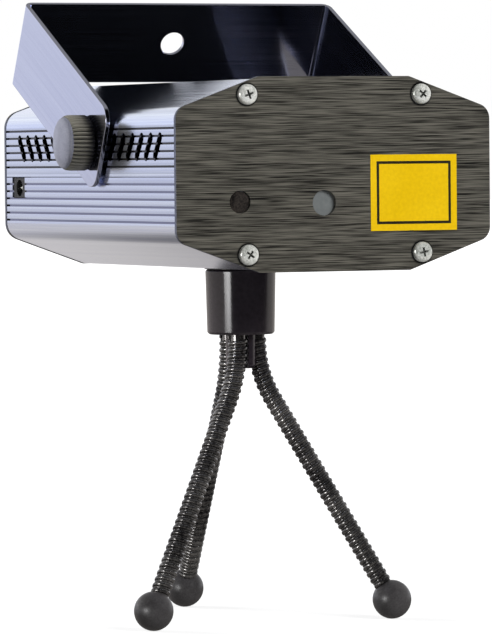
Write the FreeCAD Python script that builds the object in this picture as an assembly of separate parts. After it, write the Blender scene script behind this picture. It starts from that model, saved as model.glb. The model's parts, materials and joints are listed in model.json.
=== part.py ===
import FreeCAD, Part
import math
import os

# Laser show projector on a three-legged gooseneck tripod, with a tilting hanging bracket.
# Millimetres. The beam leaves towards -Y, +X is the viewer's right of the front plate, +Z is up.
# The origin is on the floor, under the tripod's axis.

os.makedirs("parts", exist_ok=True)
V = FreeCAD.Vector

# Casing: two aluminium extrusions with an eight-sided section, split just below mid height
CASE_W = 91.0
CASE_H = 50.8
CASE_LEN = 123.6
TOP_FLAT = 43.9
SIDE_FLAT = 33.9
CASE_WALL = 1.8
CASE_SIDE_R = 5.0
CASE_TOP_R = 1.2
CASE_INNER_R = 3.2
SEAM_Z = -0.45
SEAM_GAP = 0.2
LIP_T = 1.0
LIP_RISE = 2.0
LIP_ROOT = 2.5
FIT_GAP = 0.1

# Grooves along the casing's sides, the same above and below mid height
GROOVE_COUNT = 6
GROOVE_PITCH = 2.03
GROOVE_FIRST = 2.37
GROOVE_W = 0.6
GROOVE_DEPTH = 0.45

# Slanted vent slots, two mirrored groups on each side
VENT_COUNT = 6
VENT_PITCH = 6.3
VENT_FIRST = 15.4
VENT_LEAN = 5.0
VENT_LOW = 4.1
VENT_HIGH = 11.2
VENT_W = 2.8

# End plates and their screws
FRONT_T = 1.2
REAR_T = 1.2
FRONT_LIP = 0.6
REAR_LIP = 0.1
PLATE_SIDE_R = 4.0
SCREW_DX = 51.0
SCREW_FROM_TOP = 4.2
SCREW_HEAD_R = 2.75
SCREW_HEAD_H = 1.6
SCREW_RIM_H = 0.7
SCREW_TOP_R = 1.4
SCREW_SHANK_R = 1.4
SCREW_LEN = 11.0
SCREW_CLEARANCE = 0.25
PORT_WALL = 1.3

# Beam window and microphone behind the front plate
OPTIC_X = -3.2
OPTIC_Z = -7.7
WINDOW_HOLE_R = 3.4
WINDOW_SEAT = 1.6
WINDOW_T = 1.0
MIC_FROM_SIDE = 17.8
MIC_Z = -7.2
MIC_HOLE_R = 3.0
MIC_R = 4.85
MIC_LEN = 6.5
FELT_GAP = 0.15
FELT_T = 0.6

# Power inlet in the left side, under the seam
JACK_FROM_REAR = 9.4
JACK_W = 9.6
JACK_WALL = 0.5
JACK_BACK = 1.5
JACK_INSET = 0.3
JACK_BORE_R = 2.3
JACK_BORE_DEPTH = 8.0
JACK_PIN_R = 0.65
JACK_PIN_INSET = 0.3

# Hanging bracket: bent sheet, turned back over the casing
BRACKET_ARM = 59.7
BRACKET_W = 24.6
BRACKET_HEEL = 10.4
BRACKET_T = 1.2
BRACKET_BEND_R = 1.4
BRACKET_END = 10.0
BRACKET_END_R = 5.0
BRACKET_REST_GAP = 1.0
BRACKET_HOLE_R = 3.5
EAR_GAP = 0.7
PIVOT_Y = -4.5
PIVOT_Z = 9.0
STUD_R = 2.0
STUD_RUN = 0.08
WASHER_R = 5.0
NUT_AF = 7.0
NUT_T = 3.2
STUD_PAST_NUT = 1.0

# Thumb knobs that clamp the bracket
KNOB_R = 7.7
KNOB_LEN = 6.2
KNOB_DOME = 1.7
KNOB_RIM = 0.8
KNOB_BOSS_R = 4.5
KNOB_BOSS_LEN = 0.3
KNOB_RIDGES = 40
RIDGE_DEPTH = 0.5
RIDGE_INSET = 0.15
STUD_IN_KNOB = 5.0

# Tripod hub, its stud and the pad between hub and casing
HUB_BOTTOM_Z = 79.4
HUB_H = 18.2
HUB_TOP_R = 9.8
HUB_BOTTOM_R = 9.4
HUB_EDGE_R = 0.6
POST_R = 4.3
POST_LEN = 9.5
POST_EDGE_R = 0.8
PAD_T = 0.8
PAD_R = 10.0
TRIPOD_STUD_R = 3.15
TRIPOD_STUD_IN_HUB = 7.0
INSERT_WALL = 1.25
INSERT_FLANGE = 1.1
INSERT_FLANGE_T = 1.2
INSERT_H = 4.4
INSERT_RELIEF = 0.5

# Gooseneck legs and ball feet
LEG_HEADINGS = {"front": -152.8, "right": -32.8, "rear": 87.2}
LEG_ROOT_R = 4.6
LEG_ROOT_TWIST = 27.0
LEG_SPLAY = 30.5
LEG_BEND_R = 31.6
LEG_DROP = 2.0
LEG_VALLEY_R = 2.4
LEG_BORE_R = 1.3
LEG_RIBS = 40
RIB_H = 0.35
RIB_FOOT_SHARE = 0.10
RIB_FLANK_SHARE = 0.22
LEG_SOCKET_DEPTH = 7.0
LEG_SOCKET_GAP = 0.3
LEG_ARC_STEPS = 8
FOOT_R = 5.4
FOOT_SOCKET = 4.4

# Laser modules, beam combiner and their mount
MODULE_R = 6.0
MODULE_LEN = 26.0
MODULE_NOSE = 0.8
MODULE_CAP_LEN = 5.0
MODULE_CAP_STEP = 0.9
SEAT_LEN = 17.0
MOUNT_WALL = 3.0
MOUNT_FROM_FRONT = 23.0
CAVITY = 9.6
CAVITY_WALL = 2.2
APERTURE_R = 2.0
COMBINER_W = 9.0
COMBINER_T = 1.0
COMBINER_TURN = -45.0

# Rotating grating and its friction drive
SNOUT_R = 5.0
SNOUT_LEN = 9.0
WHEEL_RUN = 0.05
WHEEL_HUB_WALL = 2.0
WHEEL_R = 11.0
WHEEL_T = 2.6
WHEEL_GAP = 0.4
WHEEL_STOP = 1.0
GRATING_R = 6.2
GRATING_T = 1.0
MOTOR_R = 5.0
MOTOR_LEN = 16.0
MOTOR_TO_DISC = 3.0
MOTOR_BORE_DEPTH = 6.0
SHAFT_R = 0.75
ROLLER_R = 4.0
ROLLER_GAP = 0.03
SADDLE_LEN = 12.0

# Control board, between the laser mount and the fan
BOARD_W = 60.0
BOARD_TO_MOUNT = 10.0
BOARD_TO_FAN = 7.8
BOARD_T = 1.6
BOARD_LIFT = 7.5
SPACER_DX = 28.0
SPACER_R = 2.5
SPACER_HOLE_R = 1.3
SPACER_INSET = 4.0
CAP_X = 20.0
CAP_DY = 5.0
CAP_R = 4.0
CAP_H = 9.0
SMALL_CAP_R = 3.0
SMALL_CAP_H = 7.0
CHIP_W = 12.0
CHIP_LEN = 8.0
CHIP_H = 2.0
SOCKET_X = -21.0
SOCKET_DY = 5.0
SOCKET_W = 8.0
SOCKET_LEN = 6.0
SOCKET_H = 5.5

# Cooling fan behind the rear plate
FAN = 30.0
FAN_T = 8.0
FAN_X = -3.0
FAN_CORNER_R = 2.5
FAN_WALL = 1.2
FAN_SCREW_INSET = 3.0
FAN_BASE_T = 1.5
FAN_HUB_R = 6.0
FAN_SHAFT_R = 1.0
FAN_TIP_GAP = 0.5
FAN_END_GAP = 0.5
FAN_BLADES = 7
FAN_BLADE_T = 0.8
FAN_PITCH_ROOT = 50.0
FAN_PITCH_TIP = 32.0
BLADE_SINK = 0.6
BLADE_TRIM = 1.0
STRUT_W = 2.2
STRUT_SINK = 0.3
GRILLE_SLOT = 2.0
GRILLE_BAR = 1.6
GRILLE_RINGS = 3
GRILLE_SPOKE = 2.0
FAN_SCREW_LEN = 7.5

# Mode switch and speed dial on the rear plate
CONTROL_X = 26.0
SWITCH_Z = -8.0
SWITCH_W = 10.0
SWITCH_H = 5.0
SWITCH_DEPTH = 5.0
SLIDER = 2.2
SLIDER_TRAVEL = 4.0
SLIDER_INSIDE = 2.0
DIAL_Z = 7.0
DIAL_R = 3.5
POT_R = 4.8
POT_LEN = 5.5
DIAL_SHAFT_R = 1.5
DIAL_SHAFT_LEN = 4.0
DIAL_SLOT_W = 1.0
DIAL_SLOT_DEPTH = 0.8
CONTROL_PROUD = 1.6

# Places that follow from the sizes
CASE_Y0 = FRONT_T - (FRONT_T + CASE_LEN + REAR_T) / 2
CASE_Y1 = CASE_Y0 + CASE_LEN
FRONT_FACE_Y = CASE_Y0 - FRONT_T
REAR_FACE_Y = CASE_Y1 + REAR_T
MID_Z = HUB_BOTTOM_Z + HUB_H + FIT_GAP + PAD_T + CASE_H / 2
FLOOR_Z = CASE_WALL - CASE_H / 2
MIC_X = MIC_FROM_SIDE - CASE_W / 2
SCREW_HOLE_R = SCREW_SHANK_R + SCREW_CLEARANCE
PILOT_R = SCREW_SHANK_R + FIT_GAP
PORT_R = PILOT_R + PORT_WALL
JACK_Y = CASE_Y1 - JACK_FROM_REAR
JACK_H = 2 * (JACK_BORE_R + JACK_WALL + FIT_GAP)
EAR_INNER_X = CASE_W / 2 + EAR_GAP
EAR_X = EAR_INNER_X + BRACKET_T
PIVOT = V(0, PIVOT_Y, PIVOT_Z)
LEG_CREST_R = LEG_VALLEY_R + RIB_H
MOUNT_Y = CASE_Y0 + MOUNT_FROM_FRONT
INSERT_BARREL_R = TRIPOD_STUD_R + INSERT_WALL
INSERT_FLANGE_R = INSERT_BARREL_R + INSERT_FLANGE
FAN_BORE_R = FAN / 2 - FAN_WALL


def box(x, y, z):
    """Box from three (low, high) pairs."""
    return Part.makeBox(x[1] - x[0], y[1] - y[0], z[1] - z[0], V(x[0], y[0], z[0]))


def rod(radius, start, end):
    """Cylinder from one point to another."""
    return Part.makeCylinder(radius, (end - start).Length, start, end - start)


def tube(outer, inner, start, end):
    """Cylinder with a through bore."""
    return rod(outer, start, end).cut(rod(inner, start, end))


def revolved(edges, centre, direction):
    """Solid of revolution from a closed profile in the XZ plane; its Z runs along direction."""
    solid = Part.Face(Part.Wire(edges)).revolve(V(0, 0, 0), V(0, 0, 1), 360)
    solid.Placement = FreeCAD.Placement(centre, FreeCAD.Rotation(V(0, 0, 1), direction))
    return solid


def turned(points, centre, direction):
    """Solid of revolution from (radius, height) points; height runs along direction."""
    corners = [V(radius, 0, height) for radius, height in points]
    return revolved(Part.makePolygon(corners + corners[:1]).Edges, centre, direction)


def joined(shapes):
    """One solid from touching shapes."""
    return shapes[0].multiFuse(shapes[1:]).removeSplitter()


def section_points(grow):
    """Corners of the eight-sided section, moved outwards by grow."""
    side = CASE_W / 2
    top = CASE_H / 2
    rise = top - SIDE_FLAT / 2
    run = side - TOP_FLAT / 2
    slope = math.hypot(rise, run)
    nx = rise / slope
    nz = run / slope
    reach = nx * side + nz * SIDE_FLAT / 2 + grow
    side += grow
    top += grow
    side_flat = (reach - nx * side) / nz
    top_flat = (reach - nz * top) / nx
    return [(top_flat, top), (side, side_flat), (side, -side_flat), (top_flat, -top),
            (-top_flat, -top), (-side, -side_flat), (-side, side_flat), (-top_flat, top)]


def section_prism(grow, y0, y1, side_r, top_r):
    """Eight-sided bar along Y with rounded corners."""
    points = section_points(grow)
    corners = [V(x, y0, z) for x, z in points]
    face = Part.Face(Part.makePolygon(corners + corners[:1]))
    bar = face.extrude(V(0, y1 - y0, 0))
    side = max(x for x, z in points)
    long_edges = [e for e in bar.Edges if abs(e.BoundBox.YLength - (y1 - y0)) < 1e-6]
    side_edges = [e for e in long_edges if abs(abs(e.CenterOfMass.x) - side) < 1e-6]
    top_edges = [e for e in long_edges if abs(abs(e.CenterOfMass.x) - side) > 1e-6]
    bar = bar.makeFillet(side_r, side_edges)
    heights = [(round(e.CenterOfMass.x, 4), round(e.CenterOfMass.z, 4)) for e in top_edges]
    top_edges = [e for e in bar.Edges
                 if (round(e.CenterOfMass.x, 4), round(e.CenterOfMass.z, 4)) in heights
                 and abs(e.BoundBox.YLength - (y1 - y0)) < 1e-6]
    return bar.makeFillet(top_r, top_edges)


def plate_screw_places():
    """Centres of the four end plate screws."""
    height = CASE_H / 2 - SCREW_FROM_TOP
    return [(sx * SCREW_DX / 2, sz * height) for sx in (-1, 1) for sz in (-1, 1)]


def casing_blank():
    """Extruded section before it is split: grooves, hollow and screw ports."""
    blank = section_prism(0, CASE_Y0, CASE_Y1, CASE_SIDE_R, CASE_TOP_R)
    hollow = section_prism(-CASE_WALL, CASE_Y0, CASE_Y1, CASE_INNER_R, CASE_INNER_R)
    shell = blank.cut(hollow)
    ports = [rod(PORT_R, V(x, CASE_Y0, z), V(x, CASE_Y1, z)) for x, z in plate_screw_places()]
    shell = joined([shell] + [port.common(blank) for port in ports])
    cuts = [rod(PILOT_R, V(x, CASE_Y0, z), V(x, CASE_Y1, z)) for x, z in plate_screw_places()]
    side = CASE_W / 2
    for row in range(GROOVE_COUNT):
        height = GROOVE_FIRST + row * GROOVE_PITCH
        for z in (height, -height):
            band = (z - GROOVE_W / 2, z + GROOVE_W / 2)
            cuts.append(box((-side, GROOVE_DEPTH - side), (CASE_Y0, CASE_Y1), band))
            cuts.append(box((side - GROOVE_DEPTH, side), (CASE_Y0, CASE_Y1), band))
    return shell.cut(Part.makeCompound(cuts))


def vent_slot(low_y, high_y):
    """One slanted slot, round ended, through both sides."""
    low = V(-CASE_W, low_y, VENT_LOW)
    high = V(-CASE_W, high_y, VENT_HIGH)
    along = (high - low).normalize()
    across = V(0, -along.z, along.y) * (VENT_W / 2)
    low_end = low + along * (VENT_W / 2)
    high_end = high - along * (VENT_W / 2)
    edges = [
        Part.LineSegment(low_end + across, high_end + across).toShape(),
        Part.Arc(high_end + across, high, high_end - across).toShape(),
        Part.LineSegment(high_end - across, low_end - across).toShape(),
        Part.Arc(low_end - across, low, low_end + across).toShape(),
    ]
    return Part.Face(Part.Wire(edges)).extrude(V(2 * CASE_W, 0, 0))


def upper_shell(blank):
    """Upper half: vents on both sides and the two pivot holes."""
    upper = blank.common(box((-CASE_W, CASE_W), (CASE_Y0, CASE_Y1), (SEAM_Z + SEAM_GAP / 2, CASE_H)))
    cuts = []
    for group in (-1, 1):
        for index in range(VENT_COUNT):
            low_y = group * (VENT_FIRST + index * VENT_PITCH)
            cuts.append(vent_slot(low_y, low_y + group * VENT_LEAN))
    cuts.append(rod(STUD_R + STUD_RUN, V(-CASE_W, PIVOT_Y, PIVOT_Z), V(CASE_W, PIVOT_Y, PIVOT_Z)))
    return upper.cut(Part.makeCompound(cuts))


def jack_span(clearance):
    """Low and high corners in Y and Z of the power inlet."""
    top = SEAM_Z - SEAM_GAP / 2
    y_span = (JACK_Y - JACK_W / 2 + clearance, JACK_Y + JACK_W / 2 - clearance)
    z_span = (top - JACK_H + clearance, top - clearance)
    return y_span, z_span


def lower_shell(blank):
    """Lower half: a lip behind the seam, the inlet notch and the tripod hole."""
    top = SEAM_Z - SEAM_GAP / 2
    lower = blank.common(box((-CASE_W, CASE_W), (CASE_Y0, CASE_Y1), (-CASE_H, top)))
    inner = CASE_W / 2 - CASE_WALL
    lips = []
    for side in (-1, 1):
        outer_x = sorted((side * (inner - FIT_GAP - LIP_T), side * (inner - FIT_GAP)))
        root_x = sorted((side * (inner - FIT_GAP - LIP_T), side * inner))
        lips.append(box(outer_x, (CASE_Y0, CASE_Y1), (top, top + LIP_RISE)))
        lips.append(box(root_x, (CASE_Y0, CASE_Y1), (top - LIP_ROOT, top)))
    lower = joined([lower] + lips)
    y_span, z_span = jack_span(0)
    notch = box((-CASE_W / 2, FIT_GAP + LIP_T - inner + FIT_GAP), y_span, (z_span[0], top + LIP_RISE))
    stud_hole = rod(TRIPOD_STUD_R + STUD_RUN, V(0, 0, -CASE_H / 2), V(0, 0, FLOOR_Z))
    return lower.cut(Part.makeCompound([notch, stud_hole]))


def pan_screw(x, z, face_y, inwards, length):
    """Pan head screw along Y; the head sits on face_y and the shank runs inwards."""
    head = turned([(0, 0), (SCREW_HEAD_R, 0), (SCREW_HEAD_R, SCREW_RIM_H), (SCREW_TOP_R, SCREW_HEAD_H),
                   (0, SCREW_HEAD_H)], V(x, face_y, z), V(0, -inwards, 0))
    shank = rod(SCREW_SHANK_R, V(x, face_y, z), V(x, face_y + inwards * length, z))
    return joined([head, shank])


def front_plate():
    plate = section_prism(FRONT_LIP, FRONT_FACE_Y, CASE_Y0, PLATE_SIDE_R, CASE_TOP_R)
    places = [(SCREW_HOLE_R, x, z) for x, z in plate_screw_places()]
    places += [(WINDOW_HOLE_R, OPTIC_X, OPTIC_Z), (MIC_HOLE_R, MIC_X, MIC_Z)]
    holes = [rod(radius, V(x, FRONT_FACE_Y, z), V(x, CASE_Y0, z)) for radius, x, z in places]
    return plate.cut(Part.makeCompound(holes))


def fan_screw_places():
    """Centres of the four fan screws."""
    half = FAN / 2 - FAN_SCREW_INSET
    return [(FAN_X + sx * half, sz * half) for sx in (-1, 1) for sz in (-1, 1)]


def grille_cuts():
    """Rings of slots in front of the fan, held by two crossed spokes."""
    rings = []
    outer = FAN_BORE_R - GRILLE_BAR
    for ring in range(GRILLE_RINGS):
        radius = outer - ring * (GRILLE_SLOT + GRILLE_BAR)
        rings.append(tube(radius, radius - GRILLE_SLOT, V(FAN_X, CASE_Y1, 0), V(FAN_X, REAR_FACE_Y, 0)))
    spokes = []
    for angle in (45, 135):
        spoke = box((-FAN, FAN), (CASE_Y1, REAR_FACE_Y), (-GRILLE_SPOKE / 2, GRILLE_SPOKE / 2))
        spoke.rotate(V(0, 0, 0), V(0, 1, 0), angle)
        spoke.translate(V(FAN_X, 0, 0))
        spokes.append(spoke)
    return Part.makeCompound(rings).cut(Part.makeCompound(spokes))


def rear_plate():
    plate = section_prism(REAR_LIP, CASE_Y1, REAR_FACE_Y, CASE_SIDE_R, CASE_TOP_R)
    places = plate_screw_places() + fan_screw_places()
    holes = [rod(SCREW_HOLE_R, V(x, CASE_Y1, z), V(x, REAR_FACE_Y, z)) for x, z in places]
    holes.append(rod(DIAL_R + FIT_GAP, V(CONTROL_X, CASE_Y1, DIAL_Z), V(CONTROL_X, REAR_FACE_Y, DIAL_Z)))
    slot_half = (SLIDER + SLIDER_TRAVEL) / 2 + FIT_GAP
    holes.append(box((CONTROL_X - slot_half, CONTROL_X + slot_half), (CASE_Y1, REAR_FACE_Y),
                     (SWITCH_Z - SLIDER / 2 - FIT_GAP, SWITCH_Z + SLIDER / 2 + FIT_GAP)))
    return plate.cut(Part.makeCompound(holes)).cut(grille_cuts())


def dc_jack():
    """Inlet block in its notch, with a round socket open to the left."""
    y_span, z_span = jack_span(FIT_GAP)
    face_x = JACK_INSET - CASE_W / 2
    block = box((face_x, face_x + JACK_BORE_DEPTH + JACK_BACK), y_span, z_span)
    centre_z = sum(z_span) / 2
    socket = rod(JACK_BORE_R, V(face_x, JACK_Y, centre_z), V(face_x + JACK_BORE_DEPTH, JACK_Y, centre_z))
    pin = turned([(0, 0), (JACK_PIN_R, 0), (JACK_PIN_R, JACK_BORE_DEPTH - JACK_PIN_INSET - JACK_PIN_R),
                  (0, JACK_BORE_DEPTH - JACK_PIN_INSET)],
                 V(face_x + JACK_BORE_DEPTH, JACK_Y, centre_z), V(-1, 0, 0))
    return block.cut(socket), pin


def bracket_tilt():
    """Angle at which the bar's inner edge stops just above the casing's top."""
    bar = BRACKET_ARM - BRACKET_T
    height = CASE_H / 2 + BRACKET_REST_GAP - PIVOT_Z
    return math.degrees(math.atan2(BRACKET_HEEL, bar) + math.asin(height / math.hypot(bar, BRACKET_HEEL)))


def bracket():
    """U of bent sheet, its pivot nearer to the heel; built level along +Y, then turned back."""
    inner_r = BRACKET_BEND_R
    outer_r = inner_r + BRACKET_T
    band = (-BRACKET_HEEL, BRACKET_W - BRACKET_HEEL)
    outer = box((-EAR_X, EAR_X), (-BRACKET_END, BRACKET_ARM), band)
    outer_edges = [e for e in outer.Edges if e.BoundBox.ZLength > BRACKET_W / 2
                   and abs(e.CenterOfMass.y - BRACKET_ARM) < 1e-6]
    outer = outer.makeFillet(outer_r, outer_edges)
    gap_end = BRACKET_ARM - BRACKET_T
    gap = box((-EAR_INNER_X, EAR_INNER_X), (-BRACKET_ARM, gap_end), band)
    gap_edges = [e for e in gap.Edges if e.BoundBox.ZLength > BRACKET_W / 2
                 and abs(e.CenterOfMass.y - gap_end) < 1e-6]
    sheet = outer.cut(gap.makeFillet(inner_r, gap_edges))
    end_edges = [e for e in sheet.Edges if abs(e.BoundBox.XLength - BRACKET_T) < 1e-6
                 and abs(e.CenterOfMass.y + BRACKET_END) < 1e-6]
    sheet = sheet.makeFillet(BRACKET_END_R, end_edges)
    pivot_hole = rod(STUD_R + STUD_RUN, V(-EAR_X, 0, 0), V(EAR_X, 0, 0))
    middle = sum(band) / 2
    hang_hole = rod(BRACKET_HOLE_R, V(0, gap_end, middle), V(0, BRACKET_ARM, middle))
    sheet = sheet.cut(Part.makeCompound([pivot_hole, hang_hole]))
    sheet.rotate(V(0, 0, 0), V(1, 0, 0), bracket_tilt())
    sheet.translate(PIVOT)
    return sheet


def friction_washers():
    """Plastic washers between the casing and the bracket's ears."""
    inner_x = CASE_W / 2 + FIT_GAP
    outer_x = EAR_INNER_X - FIT_GAP
    return [tube(WASHER_R, STUD_R + STUD_RUN, V(side * inner_x, PIVOT_Y, PIVOT_Z),
                 V(side * outer_x, PIVOT_Y, PIVOT_Z)) for side in (-1, 1)]


def pivot_nuts():
    """Hex nuts on the inside of the casing's sides."""
    nuts = []
    corner = NUT_AF / math.sqrt(3)
    inner_x = CASE_W / 2 - CASE_WALL
    for side in (-1, 1):
        points = [V(side * inner_x, PIVOT_Y + corner * math.cos(math.radians(60 * k)),
                    PIVOT_Z + corner * math.sin(math.radians(60 * k))) for k in range(6)]
        prism = Part.Face(Part.makePolygon(points + points[:1])).extrude(V(-side * NUT_T, 0, 0))
        hole = rod(STUD_R + STUD_RUN, V(side * inner_x, PIVOT_Y, PIVOT_Z),
                   V(side * (inner_x - NUT_T), PIVOT_Y, PIVOT_Z))
        nuts.append(prism.cut(hole))
    return nuts


def knob_cap(base, out):
    """Round cap of a thumb knob: a short rim under a dome."""
    sphere_r = (KNOB_R ** 2 + KNOB_DOME ** 2) / (2 * KNOB_DOME)
    half_turn = math.asin(KNOB_R / sphere_r) / 2
    top = KNOB_RIM + KNOB_DOME
    middle = V(sphere_r * math.sin(half_turn), 0, top - sphere_r * (1 - math.cos(half_turn)))
    edges = [
        Part.LineSegment(V(0, 0, 0), V(KNOB_R, 0, 0)).toShape(),
        Part.LineSegment(V(KNOB_R, 0, 0), V(KNOB_R, 0, KNOB_RIM)).toShape(),
        Part.Arc(V(KNOB_R, 0, KNOB_RIM), middle, V(0, 0, top)).toShape(),
        Part.LineSegment(V(0, 0, top), V(0, 0, 0)).toShape(),
    ]
    return revolved(edges, base, out)


def thumb_knob(side):
    """Ridged knob with a domed cap, and the stud moulded into it."""
    base = V(side * (EAR_X + FIT_GAP), PIVOT_Y, PIVOT_Z)
    out = V(side, 0, 0)
    grip_start = base + out * KNOB_BOSS_LEN
    grip_end = grip_start + out * (KNOB_LEN - KNOB_RIM)
    points = []
    for index in range(2 * KNOB_RIDGES):
        angle = math.pi * index / KNOB_RIDGES
        radius = KNOB_R - RIDGE_INSET - RIDGE_DEPTH * (index % 2)
        points.append(grip_start + V(0, radius * math.cos(angle), radius * math.sin(angle)))
    grip = Part.Face(Part.makePolygon(points + points[:1])).extrude(grip_end - grip_start)
    knob = joined([rod(KNOB_BOSS_R, base, grip_start), grip, knob_cap(grip_end, out)])
    stud_tip = V(side * (CASE_W / 2 - CASE_WALL - NUT_T - STUD_PAST_NUT), PIVOT_Y, PIVOT_Z)
    stud_end = base + out * STUD_IN_KNOB
    return knob.cut(rod(STUD_R, base, stud_end)), rod(STUD_R, stud_tip, stud_end)


def leg_vectors(heading):
    """Root point, outward direction and the steady cross axis of one leg."""
    angle = math.radians(heading)
    root_angle = math.radians(heading + LEG_ROOT_TWIST)
    root = V(LEG_ROOT_R * math.cos(root_angle), LEG_ROOT_R * math.sin(root_angle), HUB_BOTTOM_Z)
    out = V(math.cos(angle), math.sin(angle), 0)
    cross = V(math.sin(angle), -math.cos(angle), 0)
    return root, out, cross


def leg_lengths():
    """Lengths of the bend and of the straight run down to the ball's centre."""
    splay = math.radians(LEG_SPLAY)
    bend = LEG_BEND_R * splay
    height = HUB_BOTTOM_Z - LEG_DROP - LEG_BEND_R * math.sin(splay) - FOOT_R
    return bend, height / math.cos(splay)


def leg_point(distance):
    """Offset outwards, offset up and slope at a distance below the hub, along the leg."""
    splay = math.radians(LEG_SPLAY)
    bend, straight = leg_lengths()
    if distance <= LEG_DROP:
        return 0.0, -distance, 0.0
    if distance <= LEG_DROP + bend:
        turn = (distance - LEG_DROP) / LEG_BEND_R
        return LEG_BEND_R * (1 - math.cos(turn)), -LEG_DROP - LEG_BEND_R * math.sin(turn), turn
    run = distance - LEG_DROP - bend
    out = LEG_BEND_R * (1 - math.cos(splay)) + run * math.sin(splay)
    down = LEG_DROP + LEG_BEND_R * math.sin(splay) + run * math.cos(splay)
    return out, -down, splay


def leg_ring(heading, distance, radius):
    """Circle square to the leg, with its X axis along the leg's cross axis."""
    root, out, cross = leg_vectors(heading)
    offset, up, turn = leg_point(distance)
    circle = Part.Circle()
    circle.Axis = out * math.sin(turn) - V(0, 0, math.cos(turn))
    circle.XAxis = cross
    circle.Radius = radius
    circle.Center = root + out * offset + V(0, 0, up)
    return Part.Wire(circle.toShape())


def leg_foot_centre(heading):
    """Centre of the ball foot."""
    root, out, cross = leg_vectors(heading)
    bend, straight = leg_lengths()
    offset, up, turn = leg_point(LEG_DROP + bend + straight)
    return root + out * offset + V(0, 0, up), out * math.sin(turn) - V(0, 0, math.cos(turn))


def gooseneck(heading):
    """Ribbed metal tube from its socket in the hub into the ball foot, with its bore."""
    bend, straight = leg_lengths()
    whole = LEG_DROP + bend + straight
    tip = whole - FOOT_R + FOOT_SOCKET
    first = 2 * LEG_SOCKET_GAP
    last = whole - FOOT_R - LEG_SOCKET_GAP
    pitch = (last - first) / LEG_RIBS
    crest_share = RIB_FOOT_SHARE + RIB_FLANK_SHARE
    profile = [(RIB_FOOT_SHARE, LEG_VALLEY_R), (crest_share, LEG_CREST_R),
               (1 - crest_share, LEG_CREST_R), (1 - RIB_FOOT_SHARE, LEG_VALLEY_R)]
    rings = [leg_ring(heading, -LEG_SOCKET_DEPTH, LEG_VALLEY_R)]
    for rib in range(LEG_RIBS):
        for share, radius in profile:
            rings.append(leg_ring(heading, first + (rib + share) * pitch, radius))
    rings.append(leg_ring(heading, tip, LEG_VALLEY_R))
    skin = Part.makeLoft(rings, True, True)
    stops = [-LEG_SOCKET_DEPTH, LEG_DROP]
    stops += [LEG_DROP + bend * step / LEG_ARC_STEPS for step in range(1, LEG_ARC_STEPS + 1)]
    stops.append(tip)
    bore = Part.makeLoft([leg_ring(heading, stop, LEG_BORE_R) for stop in stops], True, True)
    return skin.cut(bore)


def ball_foot(heading):
    """Rubber ball, turned in one piece with the socket that takes the leg's end."""
    centre, along = leg_foot_centre(heading)
    socket_r = LEG_VALLEY_R + FIT_GAP / 2
    lip = math.sqrt(FOOT_R ** 2 - socket_r ** 2)
    floor = FOOT_R - FOOT_SOCKET - FIT_GAP
    edges = [
        Part.Arc(V(0, 0, -FOOT_R), V(FOOT_R, 0, 0), V(socket_r, 0, lip)).toShape(),
        Part.LineSegment(V(socket_r, 0, lip), V(socket_r, 0, floor)).toShape(),
        Part.LineSegment(V(socket_r, 0, floor), V(0, 0, floor)).toShape(),
        Part.LineSegment(V(0, 0, floor), V(0, 0, -FOOT_R)).toShape(),
    ]
    return revolved(edges, centre, -along)


def tripod_hub():
    """Tapered collar with leg sockets, and the fluted post between the legs."""
    top = HUB_BOTTOM_Z + HUB_H
    collar = turned([(0, 0), (HUB_BOTTOM_R - HUB_EDGE_R, 0), (HUB_BOTTOM_R, HUB_EDGE_R),
                     (HUB_TOP_R, HUB_H - HUB_EDGE_R), (HUB_TOP_R - HUB_EDGE_R, HUB_H), (0, HUB_H)],
                    V(0, 0, HUB_BOTTOM_Z), V(0, 0, 1))
    post = turned([(0, 0), (POST_R - POST_EDGE_R, 0), (POST_R, POST_EDGE_R), (POST_R, POST_LEN),
                   (0, POST_LEN)], V(0, 0, HUB_BOTTOM_Z - POST_LEN), V(0, 0, 1))
    hub = joined([collar, post])
    cuts = [rod(TRIPOD_STUD_R, V(0, 0, top - TRIPOD_STUD_IN_HUB), V(0, 0, top))]
    for heading in LEG_HEADINGS.values():
        root, out, cross = leg_vectors(heading)
        socket_top = root + V(0, 0, LEG_SOCKET_DEPTH + FIT_GAP)
        cuts.append(rod(LEG_VALLEY_R + LEG_SOCKET_GAP, root, socket_top))
        cuts.append(rod(LEG_CREST_R + LEG_SOCKET_GAP, root - V(0, 0, POST_LEN), root))
    return hub.cut(Part.makeCompound(cuts))


def tripod_fittings():
    """Stud of the tripod, the rubber pad round it and the insert in the casing's floor."""
    hub_top = HUB_BOTTOM_Z + HUB_H
    insert_low = FLOOR_Z + MID_Z
    stud = rod(TRIPOD_STUD_R, V(0, 0, hub_top - TRIPOD_STUD_IN_HUB), V(0, 0, insert_low + INSERT_H))
    pad = tube(PAD_R, TRIPOD_STUD_R, V(0, 0, hub_top), V(0, 0, hub_top + PAD_T))
    insert = turned([(0, 0), (INSERT_FLANGE_R, 0), (INSERT_FLANGE_R, INSERT_FLANGE_T),
                     (INSERT_BARREL_R, INSERT_FLANGE_T), (INSERT_BARREL_R, INSERT_H), (0, INSERT_H)],
                    V(0, 0, FLOOR_Z), V(0, 0, 1))
    bore = rod(TRIPOD_STUD_R + STUD_RUN, V(0, 0, FLOOR_Z), V(0, 0, FLOOR_Z + INSERT_H))
    return stud, pad, insert.cut(bore)


def mount_places():
    """Y places along the laser mount: cavity ends and the two ends of the module's seat."""
    cavity0 = MOUNT_Y + CAVITY_WALL
    cavity1 = cavity0 + CAVITY
    seat0 = cavity1 + CAVITY_WALL
    return cavity0, cavity1, seat0, seat0 + SEAT_LEN


def motor_axis_x():
    """The motor stands beside the grating wheel, its roller on the wheel's rim."""
    return OPTIC_X - WHEEL_R - ROLLER_GAP - ROLLER_R


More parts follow.
